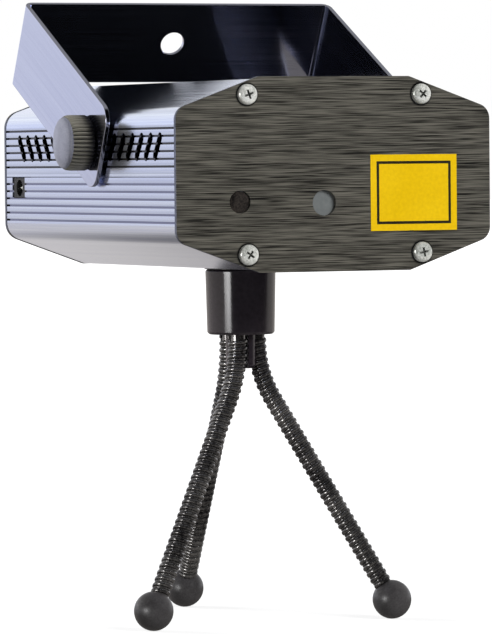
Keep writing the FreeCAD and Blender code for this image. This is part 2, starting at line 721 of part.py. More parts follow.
def wheel_disc_span():
    """Low and high Y of the grating wheel's disc."""
    return MOUNT_Y - SNOUT_LEN - FIT_GAP - WHEEL_T, MOUNT_Y - SNOUT_LEN - FIT_GAP


def motor_span():
    """Low and high Y of the motor's can."""
    front = wheel_disc_span()[1] + MOTOR_TO_DISC
    return front, front + MOTOR_LEN


def laser_mount():
    """Aluminium block: two module seats at right angles, the combiner's cavity, snout and motor saddle.
    Where the casing is short its foot is relieved round the tripod's insert."""
    half = MODULE_R + MOUNT_WALL
    cavity0, cavity1, seat0, seat1 = mount_places()
    cavity_y = (cavity0 + cavity1) / 2
    main = box((OPTIC_X - half, OPTIC_X + half), (MOUNT_Y, seat1), (FLOOR_Z, OPTIC_Z + half))
    arm = box((OPTIC_X + half, OPTIC_X + half + SEAT_LEN), (cavity_y - half, cavity_y + half),
              (OPTIC_Z - half, OPTIC_Z + half))
    snout = rod(SNOUT_R, V(OPTIC_X, MOUNT_Y, OPTIC_Z), V(OPTIC_X, MOUNT_Y - SNOUT_LEN, OPTIC_Z))
    motor_x = motor_axis_x()
    saddle_wall = MOTOR_R + MOUNT_WALL / 2
    saddle_y1 = MOUNT_Y + SADDLE_LEN
    saddle = box((motor_x - saddle_wall, OPTIC_X - half), (MOUNT_Y, saddle_y1),
                 (OPTIC_Z - saddle_wall, OPTIC_Z))
    block = joined([main, arm, snout, saddle])
    seat_r = MODULE_R + FIT_GAP / 2
    cuts = [
        box((OPTIC_X - CAVITY / 2, OPTIC_X + CAVITY / 2), (cavity0, cavity1),
            (OPTIC_Z - CAVITY / 2, OPTIC_Z + half)),
        rod(seat_r, V(OPTIC_X, seat0, OPTIC_Z), V(OPTIC_X, seat1, OPTIC_Z)),
        rod(APERTURE_R, V(OPTIC_X, MOUNT_Y - SNOUT_LEN, OPTIC_Z), V(OPTIC_X, seat0, OPTIC_Z)),
        rod(seat_r, V(OPTIC_X + half, cavity_y, OPTIC_Z), V(OPTIC_X + half + SEAT_LEN, cavity_y, OPTIC_Z)),
        rod(APERTURE_R, V(OPTIC_X, cavity_y, OPTIC_Z), V(OPTIC_X + half, cavity_y, OPTIC_Z)),
        rod(MOTOR_R + FIT_GAP / 2, V(motor_x, MOUNT_Y, OPTIC_Z), V(motor_x, saddle_y1, OPTIC_Z)),
        rod(INSERT_FLANGE_R + INSERT_RELIEF, V(0, 0, FLOOR_Z), V(0, 0, FLOOR_Z + INSERT_H + INSERT_RELIEF)),
    ]
    return block.cut(Part.makeCompound(cuts))


def laser_module(start, direction):
    """Turned brass barrel with a stepped nose ring and a driver cap."""
    barrel_len = MODULE_LEN - MODULE_CAP_LEN
    cap_r = MODULE_R - MODULE_CAP_STEP
    return turned([(0, 0), (MODULE_R - MODULE_NOSE, 0), (MODULE_R, MODULE_NOSE), (MODULE_R, barrel_len),
                   (cap_r, barrel_len), (cap_r, MODULE_LEN), (0, MODULE_LEN)], start, direction)


def beam_combiner():
    """Coated glass plate at 45 degrees, standing on the cavity's floor."""
    cavity0, cavity1, seat0, seat1 = mount_places()
    centre = V(OPTIC_X, (cavity0 + cavity1) / 2, OPTIC_Z)
    low = -CAVITY / 2
    plate = box((-COMBINER_W / 2, COMBINER_W / 2), (-COMBINER_T / 2, COMBINER_T / 2),
                (low, low + COMBINER_W))
    plate.rotate(V(0, 0, 0), V(0, 0, 1), COMBINER_TURN)
    plate.translate(centre)
    return plate


def grating_wheel():
    """Wheel that runs on the mount's snout, and the grating disc in its front recess."""
    disc0, disc1 = wheel_disc_span()
    hub_end = MOUNT_Y - WHEEL_GAP
    front = V(OPTIC_X, disc0, OPTIC_Z)
    hub_len = hub_end - disc0
    recess = GRATING_T + FIT_GAP
    recess_r = GRATING_R + FIT_GAP
    stop_r = SNOUT_R - WHEEL_STOP
    bore_r = SNOUT_R + WHEEL_RUN
    hub_r = SNOUT_R + WHEEL_HUB_WALL
    wheel = turned([(stop_r, recess), (recess_r, recess), (recess_r, 0), (WHEEL_R, 0), (WHEEL_R, WHEEL_T),
                    (hub_r, WHEEL_T), (hub_r, hub_len), (bore_r, hub_len), (bore_r, WHEEL_T),
                    (stop_r, WHEEL_T)], front, V(0, 1, 0))
    grating = rod(GRATING_R, front + V(0, FIT_GAP / 2, 0), front + V(0, recess, 0))
    return wheel, grating


def grating_drive():
    """Small motor in its saddle, its shaft and the rubber roller on the wheel's rim."""
    disc0, disc1 = wheel_disc_span()
    can0, can1 = motor_span()
    axis_x = motor_axis_x()
    can = rod(MOTOR_R, V(axis_x, can0, OPTIC_Z), V(axis_x, can1, OPTIC_Z))
    bore_end = can0 + MOTOR_BORE_DEPTH
    bore = rod(SHAFT_R + WHEEL_RUN, V(axis_x, can0, OPTIC_Z), V(axis_x, bore_end, OPTIC_Z))
    shaft = rod(SHAFT_R, V(axis_x, disc0, OPTIC_Z), V(axis_x, bore_end - FIT_GAP, OPTIC_Z))
    roller = tube(ROLLER_R, SHAFT_R, V(axis_x, disc0, OPTIC_Z), V(axis_x, disc1, OPTIC_Z))
    return can.cut(bore), shaft, roller


def board_span():
    """Low and high Y of the control board."""
    return mount_places()[3] + BOARD_TO_MOUNT, CASE_Y1 - FAN_T - BOARD_TO_FAN


def control_board():
    """Circuit board with four screw holes, on four spacers."""
    low = FLOOR_Z + BOARD_LIFT
    top = low + BOARD_T
    y0, y1 = board_span()
    places = [(side * SPACER_DX / 2, y) for side in (-1, 1) for y in (y0 + SPACER_INSET, y1 - SPACER_INSET)]
    holes = [rod(SPACER_HOLE_R, V(x, y, low), V(x, y, top)) for x, y in places]
    board = box((-BOARD_W / 2, BOARD_W / 2), (y0, y1), (low, top)).cut(Part.makeCompound(holes))
    spacers = [tube(SPACER_R, SPACER_HOLE_R, V(x, y, FLOOR_Z), V(x, y, low)) for x, y in places]
    return board, spacers


def board_parts():
    """Two capacitors, the controller chip and two plug sockets, standing on the board."""
    base = V(0, sum(board_span()) / 2, FLOOR_Z + BOARD_LIFT + BOARD_T)
    parts = []
    for y, radius, height in ((CAP_DY, CAP_R, CAP_H), (-CAP_DY, SMALL_CAP_R, SMALL_CAP_H)):
        foot = base + V(CAP_X, y, 0)
        parts.append(rod(radius, foot, foot + V(0, 0, height)))
    parts.append(box((-CHIP_W / 2, CHIP_W / 2), (base.y - CHIP_LEN / 2, base.y + CHIP_LEN / 2),
                     (base.z, base.z + CHIP_H)))
    for y in (base.y - SOCKET_DY, base.y + SOCKET_DY):
        parts.append(box((SOCKET_X - SOCKET_W / 2, SOCKET_X + SOCKET_W / 2),
                         (y - SOCKET_LEN / 2, y + SOCKET_LEN / 2), (base.z, base.z + SOCKET_H)))
    return parts


def fan_frame():
    """Square fan housing: round bore, corner holes and a motor base on three struts."""
    y0 = CASE_Y1 - FAN_T
    half = FAN / 2
    frame = box((FAN_X - half, FAN_X + half), (y0, CASE_Y1), (-half, half))
    frame = frame.makeFillet(FAN_CORNER_R, [e for e in frame.Edges if e.BoundBox.YLength > FAN_T / 2])
    frame = frame.cut(rod(FAN_BORE_R, V(FAN_X, y0, 0), V(FAN_X, CASE_Y1, 0)))
    base = rod(FAN_HUB_R, V(FAN_X, y0, 0), V(FAN_X, y0 + FAN_BASE_T, 0))
    struts = []
    for index in range(3):
        strut = box((0, FAN_BORE_R + STRUT_SINK), (y0, y0 + FAN_BASE_T), (-STRUT_W / 2, STRUT_W / 2))
        strut.rotate(V(0, 0, 0), V(0, 1, 0), 90 + 120 * index)
        strut.translate(V(FAN_X, 0, 0))
        struts.append(strut)
    frame = joined([frame, base] + struts)
    holes = [rod(SCREW_HOLE_R, V(x, y0, z), V(x, CASE_Y1, z)) for x, z in fan_screw_places()]
    holes.append(rod(FAN_SHAFT_R + WHEEL_RUN, V(FAN_X, y0, 0), V(FAN_X, y0 + FAN_BASE_T, 0)))
    return frame.cut(Part.makeCompound(holes))


def fan_impeller():
    """Hub with twisted blades; its shaft runs in the motor base."""
    y0 = CASE_Y1 - FAN_T + FAN_BASE_T + FAN_END_GAP
    y1 = CASE_Y1 - FAN_END_GAP
    depth = y1 - y0
    tip_r = FAN_BORE_R - FAN_TIP_GAP
    root_r = FAN_HUB_R - BLADE_SINK
    half_chord = depth / math.sin(math.radians(FAN_PITCH_ROOT)) / 2
    hub = rod(FAN_HUB_R, V(0, y0, 0), V(0, y1, 0))
    shaft = rod(FAN_SHAFT_R, V(0, CASE_Y1 - FAN_T, 0), V(0, y1, 0))
    blades = []
    for index in range(FAN_BLADES):
        wires = []
        for radius, pitch in ((root_r, FAN_PITCH_ROOT), (tip_r + BLADE_TRIM, FAN_PITCH_TIP)):
            lean = math.radians(pitch)
            along = V(0, math.sin(lean), math.cos(lean)) * half_chord
            thick = V(0, math.cos(lean), -math.sin(lean)) * (FAN_BLADE_T / 2)
            middle = V(radius, (y0 + y1) / 2, 0)
            corners = [middle + along + thick, middle - along + thick,
                       middle - along - thick, middle + along - thick]
            wires.append(Part.makePolygon(corners + corners[:1]))
        blade = Part.makeLoft(wires, True, True)
        blade.rotate(V(0, 0, 0), V(0, 1, 0), 360.0 * index / FAN_BLADES)
        blades.append(blade)
    swept = tube(tip_r, root_r, V(0, y0, 0), V(0, y1, 0))
    impeller = joined([hub, shaft] + [blade.common(swept) for blade in blades])
    impeller.translate(V(FAN_X, 0, 0))
    return impeller


def mode_switch():
    """Slide switch body behind the rear plate and its slider, at one end of its travel."""
    y0 = CASE_Y1 - SWITCH_DEPTH
    body = box((CONTROL_X - SWITCH_W / 2, CONTROL_X + SWITCH_W / 2), (y0, CASE_Y1),
               (SWITCH_Z - SWITCH_H / 2, SWITCH_Z + SWITCH_H / 2))
    slot_half = (SLIDER + SLIDER_TRAVEL) / 2 + FIT_GAP
    slot = box((CONTROL_X - slot_half, CONTROL_X + slot_half), (CASE_Y1 - SLIDER_INSIDE - FIT_GAP, CASE_Y1),
               (SWITCH_Z - SLIDER / 2 - FIT_GAP, SWITCH_Z + SLIDER / 2 + FIT_GAP))
    start_x = CONTROL_X - SLIDER_TRAVEL / 2
    slider = box((start_x - SLIDER / 2, start_x + SLIDER / 2),
                 (CASE_Y1 - SLIDER_INSIDE, REAR_FACE_Y + CONTROL_PROUD),
                 (SWITCH_Z - SLIDER / 2, SWITCH_Z + SLIDER / 2))
    return body.cut(slot), slider


def speed_control():
    """Potentiometer behind the rear plate and the slotted dial on its shaft."""
    y0 = CASE_Y1 - POT_LEN
    pot = rod(POT_R, V(CONTROL_X, y0, DIAL_Z), V(CONTROL_X, CASE_Y1, DIAL_Z))
    shaft_y = CASE_Y1 - DIAL_SHAFT_LEN
    pot = pot.cut(rod(DIAL_SHAFT_R + WHEEL_RUN, V(CONTROL_X, shaft_y - FIT_GAP, DIAL_Z),
                      V(CONTROL_X, CASE_Y1, DIAL_Z)))
    face_y = REAR_FACE_Y + CONTROL_PROUD
    knob = rod(DIAL_R, V(CONTROL_X, CASE_Y1 + FIT_GAP, DIAL_Z), V(CONTROL_X, face_y, DIAL_Z))
    shaft = rod(DIAL_SHAFT_R, V(CONTROL_X, shaft_y, DIAL_Z), V(CONTROL_X, CASE_Y1 + FIT_GAP, DIAL_Z))
    slot = box((CONTROL_X - DIAL_SLOT_W / 2, CONTROL_X + DIAL_SLOT_W / 2), (face_y - DIAL_SLOT_DEPTH, face_y),
               (DIAL_Z - DIAL_R, DIAL_Z + DIAL_R))
    return pot, joined([knob, shaft]).cut(slot)


def head_nodes():
    """Pieces of the head, about the casing's centre."""
    blank = casing_blank()
    cavity0, cavity1, seat0, seat1 = mount_places()
    half = MODULE_R + MOUNT_WALL
    jack, jack_pin = dc_jack()
    wheel, grating = grating_wheel()
    motor, motor_shaft, roller = grating_drive()
    board, spacers = control_board()
    switch_body, slider = mode_switch()
    pot, dial = speed_control()
    left_knob, left_stud = thumb_knob(-1)
    right_knob, right_stud = thumb_knob(1)
    optic = V(OPTIC_X, CASE_Y0, OPTIC_Z)
    mic = V(MIC_X, CASE_Y0, MIC_Z)
    return {
        "upper_shell": upper_shell(blank),
        "lower_shell": lower_shell(blank),
        "front_plate": front_plate(),
        "rear_plate": rear_plate(),
        "front_screws": [pan_screw(x, z, FRONT_FACE_Y, 1, SCREW_LEN) for x, z in plate_screw_places()],
        "rear_screws": [pan_screw(x, z, REAR_FACE_Y, -1, SCREW_LEN) for x, z in plate_screw_places()],
        "beam_window": rod(WINDOW_HOLE_R + WINDOW_SEAT, optic, optic + V(0, WINDOW_T, 0)),
        "mic_capsule": rod(MIC_R, mic, mic + V(0, MIC_LEN, 0)),
        "mic_felt": rod(MIC_HOLE_R - FELT_GAP, mic - V(0, FELT_T, 0), mic),
        "dc_jack": jack,
        "dc_jack_pin": jack_pin,
        "bracket": bracket(),
        "friction_washers": friction_washers(),
        "pivot_nuts": pivot_nuts(),
        "left_knob": left_knob,
        "left_knob_stud": left_stud,
        "right_knob": right_knob,
        "right_knob_stud": right_stud,
        "laser_mount": laser_mount(),
        "green_laser_module": laser_module(V(OPTIC_X, seat0, OPTIC_Z), V(0, 1, 0)),
        "red_laser_module": laser_module(V(OPTIC_X + half, (cavity0 + cavity1) / 2, OPTIC_Z), V(1, 0, 0)),
        "beam_combiner": beam_combiner(),
        "grating_wheel": wheel,
        "grating_disc": grating,
        "grating_motor": motor,
        "motor_shaft": motor_shaft,
        "drive_roller": roller,
        "control_board": board,
        "board_spacers": spacers,
        "board_parts": board_parts(),
        "fan_frame": fan_frame(),
        "fan_impeller": fan_impeller(),
        "fan_screws": [pan_screw(x, z, REAR_FACE_Y, -1, FAN_SCREW_LEN) for x, z in fan_screw_places()],
        "mode_switch": switch_body,
        "switch_slider": slider,
        "speed_pot": pot,
        "speed_dial": dial,
    }


def as_shape(piece):
    """A node's shape: one solid, or a group of separate solids."""
    return Part.makeCompound(piece) if isinstance(piece, list) else piece


def tripod_nodes():
    """Pieces of the tripod, standing on the floor."""
    stud, pad, insert = tripod_fittings()
    nodes = {"tripod_hub": tripod_hub(), "tripod_stud": stud, "tripod_pad": pad}
    for name, heading in LEG_HEADINGS.items():
        nodes["leg_" + name] = gooseneck(heading)
        nodes["foot_" + name] = ball_foot(heading)
    insert.translate(V(0, 0, MID_Z))
    nodes["tripod_insert"] = insert
    return nodes


def build():
    """All nodes at their places above the floor."""
    nodes = {}
    for name, piece in head_nodes().items():
        shape = as_shape(piece).copy()
        shape.translate(V(0, 0, MID_Z))
        nodes[name] = shape
    nodes.update(tripod_nodes())
    return nodes


for node_name, node_shape in build().items():
    node_shape.exportStep("parts/" + node_name + ".step")
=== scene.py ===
import json
import math

import bmesh
import bpy
from mathutils import Matrix, Vector

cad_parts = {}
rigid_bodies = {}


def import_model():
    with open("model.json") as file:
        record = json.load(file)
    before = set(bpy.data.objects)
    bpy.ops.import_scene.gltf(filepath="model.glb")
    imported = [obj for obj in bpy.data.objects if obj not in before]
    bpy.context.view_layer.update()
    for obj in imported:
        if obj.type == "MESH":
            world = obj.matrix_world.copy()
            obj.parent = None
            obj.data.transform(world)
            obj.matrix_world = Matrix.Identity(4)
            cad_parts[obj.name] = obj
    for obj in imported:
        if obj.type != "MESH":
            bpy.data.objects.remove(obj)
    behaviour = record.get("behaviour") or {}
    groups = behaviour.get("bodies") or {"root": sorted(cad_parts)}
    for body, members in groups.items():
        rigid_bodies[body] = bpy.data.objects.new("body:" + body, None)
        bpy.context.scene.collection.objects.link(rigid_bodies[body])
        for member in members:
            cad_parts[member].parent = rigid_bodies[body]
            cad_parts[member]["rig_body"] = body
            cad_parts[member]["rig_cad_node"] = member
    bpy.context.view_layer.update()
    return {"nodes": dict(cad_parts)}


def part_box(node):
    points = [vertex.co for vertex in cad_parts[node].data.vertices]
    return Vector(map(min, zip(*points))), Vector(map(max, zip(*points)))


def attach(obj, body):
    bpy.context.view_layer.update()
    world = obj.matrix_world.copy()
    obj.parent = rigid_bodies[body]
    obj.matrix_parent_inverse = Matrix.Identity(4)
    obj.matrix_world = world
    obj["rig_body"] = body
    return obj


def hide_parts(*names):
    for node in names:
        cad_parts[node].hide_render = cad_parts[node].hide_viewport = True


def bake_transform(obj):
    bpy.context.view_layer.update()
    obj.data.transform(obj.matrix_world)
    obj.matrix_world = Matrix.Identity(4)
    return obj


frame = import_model()

# Sizes are in metres, the same as the solids', unless a name ends in _MM
MM = 0.001
MID_Z = 123.9 * MM
PLATE_FACE_Y = -63 * MM
BRACKET_TILT = math.radians(27.109)
PIVOT = (0.0, -4.5 * MM, 132.9 * MM)
GROOVE_FIRST = 2.37 * MM
GROOVE_PITCH = 2.03 * MM
GROOVED_HALF_H = 13.3 * MM
GROOVE_RIM_X = 45.42 * MM
GROOVE_FLOOR_X = 45.20 * MM
PLATE_SCREW_X = 25.5 * MM
PLATE_SCREW_Z = 21.2 * MM


# Node and material helpers

def linear(hex_colour):
    """An sRGB hex colour as linear red, green, blue and alpha."""
    shares = [int(hex_colour[i:i + 2], 16) / 255 for i in (0, 2, 4)]
    return [s / 12.92 if s <= 0.04045 else ((s + 0.055) / 1.055) ** 2.4 for s in shares] + [1.0]


def add_node(tree, kind, inputs=None, **settings):
    """Add a node with its settings; each input takes a plain value or another node's output."""
    node = tree.nodes.new(kind)
    for name, value in settings.items():
        setattr(node, name, value)
    for socket, value in (inputs or {}).items():
        if isinstance(value, bpy.types.NodeSocket):
            tree.links.new(value, node.inputs[socket])
        else:
            node.inputs[socket].default_value = value
    return node


# Sockets of the Mix node: its factor, those for colours and those for plain values
MIX_FACTOR = 0
MIX_A, MIX_B, MIX_RESULT = 6, 7, 2
VALUE_A, VALUE_B, VALUE_RESULT = 2, 3, 0


def new_material(name, **constants):
    """A material with one shader; the constants are set straight on the shader's sockets."""
    material = bpy.data.materials.new(name)
    material.use_nodes = True
    tree = material.node_tree
    tree.nodes.clear()
    sockets = {key.replace("_", " "): value for key, value in constants.items()}
    shader = add_node(tree, "ShaderNodeBsdfPrincipled", sockets)
    add_node(tree, "ShaderNodeOutputMaterial", {"Surface": shader.outputs["BSDF"]})
    return material, tree, shader


def connect(tree, shader, socket, output):
    tree.links.new(output, shader.inputs[socket])


# Noise lies round one half; these give the stretch of it that runs through the whole range of tone or gloss
NOISE_MIDDLE = 0.5
LINE_GLOSS = (0.3, 0.7)
GRAIN_TONE = (0.36, 0.64)
GRAIN_GLOSS = (0.35, 0.65)
NOISE_DETAIL = 2.0
CLOUD_DETAIL = 3.0
BROAD_LINE_SCALE = 0.21
CLOUD_SCALE = 0.07
LINE_RELIEF = 0.5
GRAIN_RELIEF = 0.4


def brushed_metal(name, dark, light, stroke, rough, depth, broad_share=0.35, spread=0.17, metallic=1.0,
                  turn=0.0, centre=(0, 0, 0)):
    """Metal rubbed one way with abrasive: lines of unequal tone and depth along the stroke's longest side."""
    material, tree, shader = new_material(name, Metallic=metallic)
    place = add_node(tree, "ShaderNodeTexCoord").outputs["Object"]
    lines = add_node(tree, "ShaderNodeMapping",
                     {"Vector": place, "Location": centre, "Rotation": (turn, 0, 0), "Scale": stroke},
                     vector_type="TEXTURE").outputs["Vector"]
    fine = add_node(tree, "ShaderNodeTexNoise",
                    {"Vector": lines, "Scale": 1.0, "Detail": NOISE_DETAIL}).outputs["Fac"]
    broad = add_node(tree, "ShaderNodeTexNoise",
                     {"Vector": lines, "Scale": BROAD_LINE_SCALE, "Detail": NOISE_DETAIL}).outputs["Fac"]
    both = add_node(tree, "ShaderNodeMix",
                    {MIX_FACTOR: broad_share, VALUE_A: fine, VALUE_B: broad}).outputs[VALUE_RESULT]
    share = add_node(tree, "ShaderNodeMapRange",
                     {"Value": both, "From Min": NOISE_MIDDLE - spread,
                      "From Max": NOISE_MIDDLE + spread}).outputs["Result"]
    tone = add_node(tree, "ShaderNodeMix", {MIX_FACTOR: share, MIX_A: linear(dark), MIX_B: linear(light)},
                    data_type="RGBA").outputs[MIX_RESULT]
    gloss = add_node(tree, "ShaderNodeMapRange",
                     {"Value": fine, "From Min": LINE_GLOSS[0], "From Max": LINE_GLOSS[1],
                      "To Min": rough[0], "To Max": rough[1]}).outputs["Result"]
    relief = add_node(tree, "ShaderNodeBump",
                      {"Height": fine, "Strength": LINE_RELIEF, "Distance": depth}).outputs["Normal"]
    connect(tree, shader, "Base Color", tone)
    connect(tree, shader, "Roughness", gloss)
    connect(tree, shader, "Normal", relief)
    return material, tree, shader, tone


def grained(name, dark, light, grain, rough, depth, **constants):
    """An even surface with a fine grain: its tone, gloss and relief vary a little from grain to grain."""
    material, tree, shader = new_material(name, **constants)
    place = add_node(tree, "ShaderNodeTexCoord").outputs["Object"]
    speck = add_node(tree, "ShaderNodeTexNoise",
                     {"Vector": place, "Scale": 1 / grain, "Detail": NOISE_DETAIL}).outputs["Fac"]
    cloud = add_node(tree, "ShaderNodeTexNoise",
                     {"Vector": place, "Scale": CLOUD_SCALE / grain, "Detail": CLOUD_DETAIL}).outputs["Fac"]
    both = add_node(tree, "ShaderNodeMix",
                    {MIX_FACTOR: 0.5, VALUE_A: speck, VALUE_B: cloud}).outputs[VALUE_RESULT]
    share = add_node(tree, "ShaderNodeMapRange",
                     {"Value": both, "From Min": GRAIN_TONE[0], "From Max": GRAIN_TONE[1]}).outputs["Result"]
    tone = add_node(tree, "ShaderNodeMix", {MIX_FACTOR: share, MIX_A: linear(dark), MIX_B: linear(light)},
                    data_type="RGBA").outputs[MIX_RESULT]
    gloss = add_node(tree, "ShaderNodeMapRange",
                     {"Value": cloud, "From Min": GRAIN_GLOSS[0], "From Max": GRAIN_GLOSS[1],
                      "To Min": rough[0], "To Max": rough[1]}).outputs["Result"]
    relief = add_node(tree, "ShaderNodeBump",
                      {"Height": speck, "Strength": GRAIN_RELIEF, "Distance": depth}).outputs["Normal"]
    connect(tree, shader, "Base Color", tone)
    connect(tree, shader, "Roughness", gloss)
    connect(tree, shader, "Normal", relief)
    return material


# Finishes

# Real brush lines and mould grain are under 0.2 mm; they are drawn as coarse as it takes to show them.

# Painted shading on each rib: between these shares of its height, from below, its brightness rises from the
# first level to the second
RIB_SHADE_REACH = (0.15, 0.85)
RIB_SHADE_LEVEL = (0.78, 1.04)


# Silver anodised aluminium, extruded and then brushed along its length: cool lavender silver with long soft
# lines, which smear what it reflects up and down. Painted shading makes each rib brighter at its upper edge
# and darker at its lower one, and painted shade darkens the grooves and vents, deeper in the upper half than
# in the lower one, which is painted as lit from below.
def brushed_casing():
    material, tree, shader, tone = brushed_metal(
        "anodised_aluminium_brushed_along", "CCD4F0", "E8F0FF",
        stroke=(0.45 * MM, 80 * MM, 0.45 * MM), rough=(0.16, 0.22), depth=0.006 * MM, spread=0.2)
    shader.inputs["Anisotropic"].default_value = 0.85
    round_section = add_node(tree, "ShaderNodeTangent", direction_type="RADIAL", axis="Y").outputs["Tangent"]
    connect(tree, shader, "Tangent", round_section)
    place = add_node(tree, "ShaderNodeTexCoord").outputs["Object"]
    split = add_node(tree, "ShaderNodeSeparateXYZ", {"Vector": place})
    across = add_node(tree, "ShaderNodeMath", {0: split.outputs["X"]}, operation="ABSOLUTE").outputs["Value"]
    sunk = add_node(tree, "ShaderNodeMapRange",
                    {"Value": across, "From Min": GROOVE_RIM_X, "From Max": GROOVE_FLOOR_X}).outputs["Result"]
    above = add_node(tree, "ShaderNodeMath", {0: split.outputs["Z"], 1: MID_Z},
                     operation="SUBTRACT").outputs["Value"]
    away = add_node(tree, "ShaderNodeMath", {0: above}, operation="ABSOLUTE").outputs["Value"]
    on_side = add_node(tree, "ShaderNodeMath", {0: away, 1: GROOVED_HALF_H},
                       operation="LESS_THAN").outputs["Value"]
    # Painted shade mask: the grooves and vents within the ribbed band
    groove_shade_mask = add_node(tree, "ShaderNodeMath", {0: sunk, 1: on_side}, operation="MULTIPLY").outputs["Value"]
    # Painted shading across each rib, brighter towards its upper edge
    rib = add_node(tree, "ShaderNodeMath", {0: away, 1: 1 / GROOVE_PITCH, 2: -GROOVE_FIRST / GROOVE_PITCH},
                   operation="MULTIPLY_ADD").outputs["Value"]
    phase = add_node(tree, "ShaderNodeMath", {0: rib}, operation="FRACT").outputs["Value"]
    upper_half = add_node(tree, "ShaderNodeMath", {0: above, 1: 0.0},
                          operation="GREATER_THAN").outputs["Value"]
    mirrored = add_node(tree, "ShaderNodeMath", {0: 1.0, 1: phase}, operation="SUBTRACT").outputs["Value"]
    up_rib = add_node(tree, "ShaderNodeMix",
                      {MIX_FACTOR: upper_half, VALUE_A: mirrored, VALUE_B: phase}).outputs[VALUE_RESULT]
    rib_shade = add_node(tree, "ShaderNodeMapRange",
                   {"Value": up_rib, "From Min": RIB_SHADE_REACH[0], "From Max": RIB_SHADE_REACH[1],
                    "To Min": RIB_SHADE_LEVEL[0], "To Max": RIB_SHADE_LEVEL[1]}).outputs["Result"]
    level = add_node(tree, "ShaderNodeMix",
                     {MIX_FACTOR: on_side, VALUE_A: 1.0, VALUE_B: rib_shade}).outputs[VALUE_RESULT]
    rib_shaded = add_node(tree, "ShaderNodeVectorMath", {0: tone, "Scale": level},
                      operation="SCALE").outputs["Vector"]
    # Painted shade colour for the grooves: darker in the upper half, lighter in the lower one as if lit from
    # below
    groove_shade = add_node(tree, "ShaderNodeMix",
                      {MIX_FACTOR: upper_half, MIX_A: linear("787C98"), MIX_B: linear("20222E")},
                      data_type="RGBA").outputs[MIX_RESULT]
    shaded = add_node(tree, "ShaderNodeMix", {MIX_FACTOR: groove_shade_mask, MIX_A: rib_shaded, MIX_B: groove_shade},
                      data_type="RGBA").outputs[MIX_RESULT]
    connect(tree, shader, "Base Color", shaded)
    return material


# Painted shadow: a black ring round each screw of an end plate, from its inner to its outer edge
SCREW_SHADOW_RING = (2.95 * MM, 3.5 * MM)


# Black anodised aluminium sheet with a hairline brush across: warm black with grey lines. Real hairlines are
# under 0.1 mm; they are drawn at 0.14 mm so that they show. A painted shadow blackens a narrow ring round
# each screw.
def hairline_plate():
    material, tree, shader, tone = brushed_metal(
        "black_anodised_aluminium_hairline", "0C0B0A", "7A776D", stroke=(11 * MM, 11 * MM, 0.14 * MM),
        rough=(0.36, 0.5), depth=0.008 * MM, broad_share=0.12, spread=0.10, metallic=0.3)
    place = add_node(tree, "ShaderNodeTexCoord").outputs["Object"]
    level = add_node(tree, "ShaderNodeVectorMath", {0: place, 1: (0, 0, MID_Z)},
                     operation="SUBTRACT").outputs["Vector"]
    corner = add_node(tree, "ShaderNodeVectorMath", {0: level}, operation="ABSOLUTE").outputs["Vector"]
    flat = add_node(tree, "ShaderNodeVectorMath", {0: corner, 1: (1, 0, 1)},
                    operation="MULTIPLY").outputs["Vector"]
    from_screw = add_node(tree, "ShaderNodeVectorMath", {0: flat, 1: (PLATE_SCREW_X, 0, PLATE_SCREW_Z)},
                          operation="DISTANCE").outputs["Value"]
    # Painted shadow: black inside the ring round each screw, the brushed tone outside it
    brushed = add_node(tree, "ShaderNodeMapRange",
                       {"Value": from_screw, "From Min": SCREW_SHADOW_RING[0], "From Max": SCREW_SHADOW_RING[1]},
                       interpolation_type="SMOOTHSTEP").outputs["Result"]
    seat = add_node(tree, "ShaderNodeMix", {MIX_FACTOR: brushed, MIX_A: linear("060606"), MIX_B: tone},
                    data_type="RGBA").outputs[MIX_RESULT]
    connect(tree, shader, "Base Color", seat)
    return material


# Where painted shade on the knobs' ridges gives way to their own grey, outwards from the middle
RIDGE_SHADE_X = (48.5 * MM, 50.5 * MM)


# Grey ABS on the grip's ridges: a warmer grey than the cap, a painted tint of the warm light from the front,
# with painted shade that darkens them towards the ear.
def shaded_ridges():
    material, tree, shader = new_material("abs_grey_moulded_shaded_to_ear", Roughness=0.36, IOR=1.53)
    place = add_node(tree, "ShaderNodeTexCoord").outputs["Object"]
    split = add_node(tree, "ShaderNodeSeparateXYZ", {"Vector": place})
    across = add_node(tree, "ShaderNodeMath", {0: split.outputs["X"]}, operation="ABSOLUTE").outputs["Value"]
    clear_of_ridge_shade = add_node(tree, "ShaderNodeMapRange",
                       {"Value": across, "From Min": RIDGE_SHADE_X[0],
                        "From Max": RIDGE_SHADE_X[1]}).outputs["Result"]
    ridge_shade_tone = add_node(tree, "ShaderNodeMix",
                    {MIX_FACTOR: clear_of_ridge_shade, MIX_A: linear("0D0D10"), MIX_B: linear("8C897E")},
                    data_type="RGBA").outputs[MIX_RESULT]
    connect(tree, shader, "Base Color", ridge_shade_tone)
    return material


HAZE_GRAIN = 1.5 * MM


# Float glass with a thin neutral coating: a grey sheen over the dark behind it.
def coated_glass():
    material, tree, shader = new_material("float_glass_coated", Roughness=0.12, IOR=1.52, Coat_Weight=0.6,
                                          Coat_Roughness=0.04)
    place = add_node(tree, "ShaderNodeTexCoord").outputs["Object"]
    haze = add_node(tree, "ShaderNodeTexNoise",
                    {"Vector": place, "Scale": 1 / HAZE_GRAIN, "Detail": NOISE_DETAIL}).outputs["Fac"]
    tint = add_node(tree, "ShaderNodeMix",
                    {MIX_FACTOR: haze, MIX_A: linear("6A6E6E"), MIX_B: linear("7E8282")},
                    data_type="RGBA").outputs[MIX_RESULT]
    connect(tree, shader, "Base Color", tint)
    return material


# At a scale of 1 the wave pattern's bands are this far apart
WAVE_STEP = 0.314
GRATING_STEP = 0.5 * MM


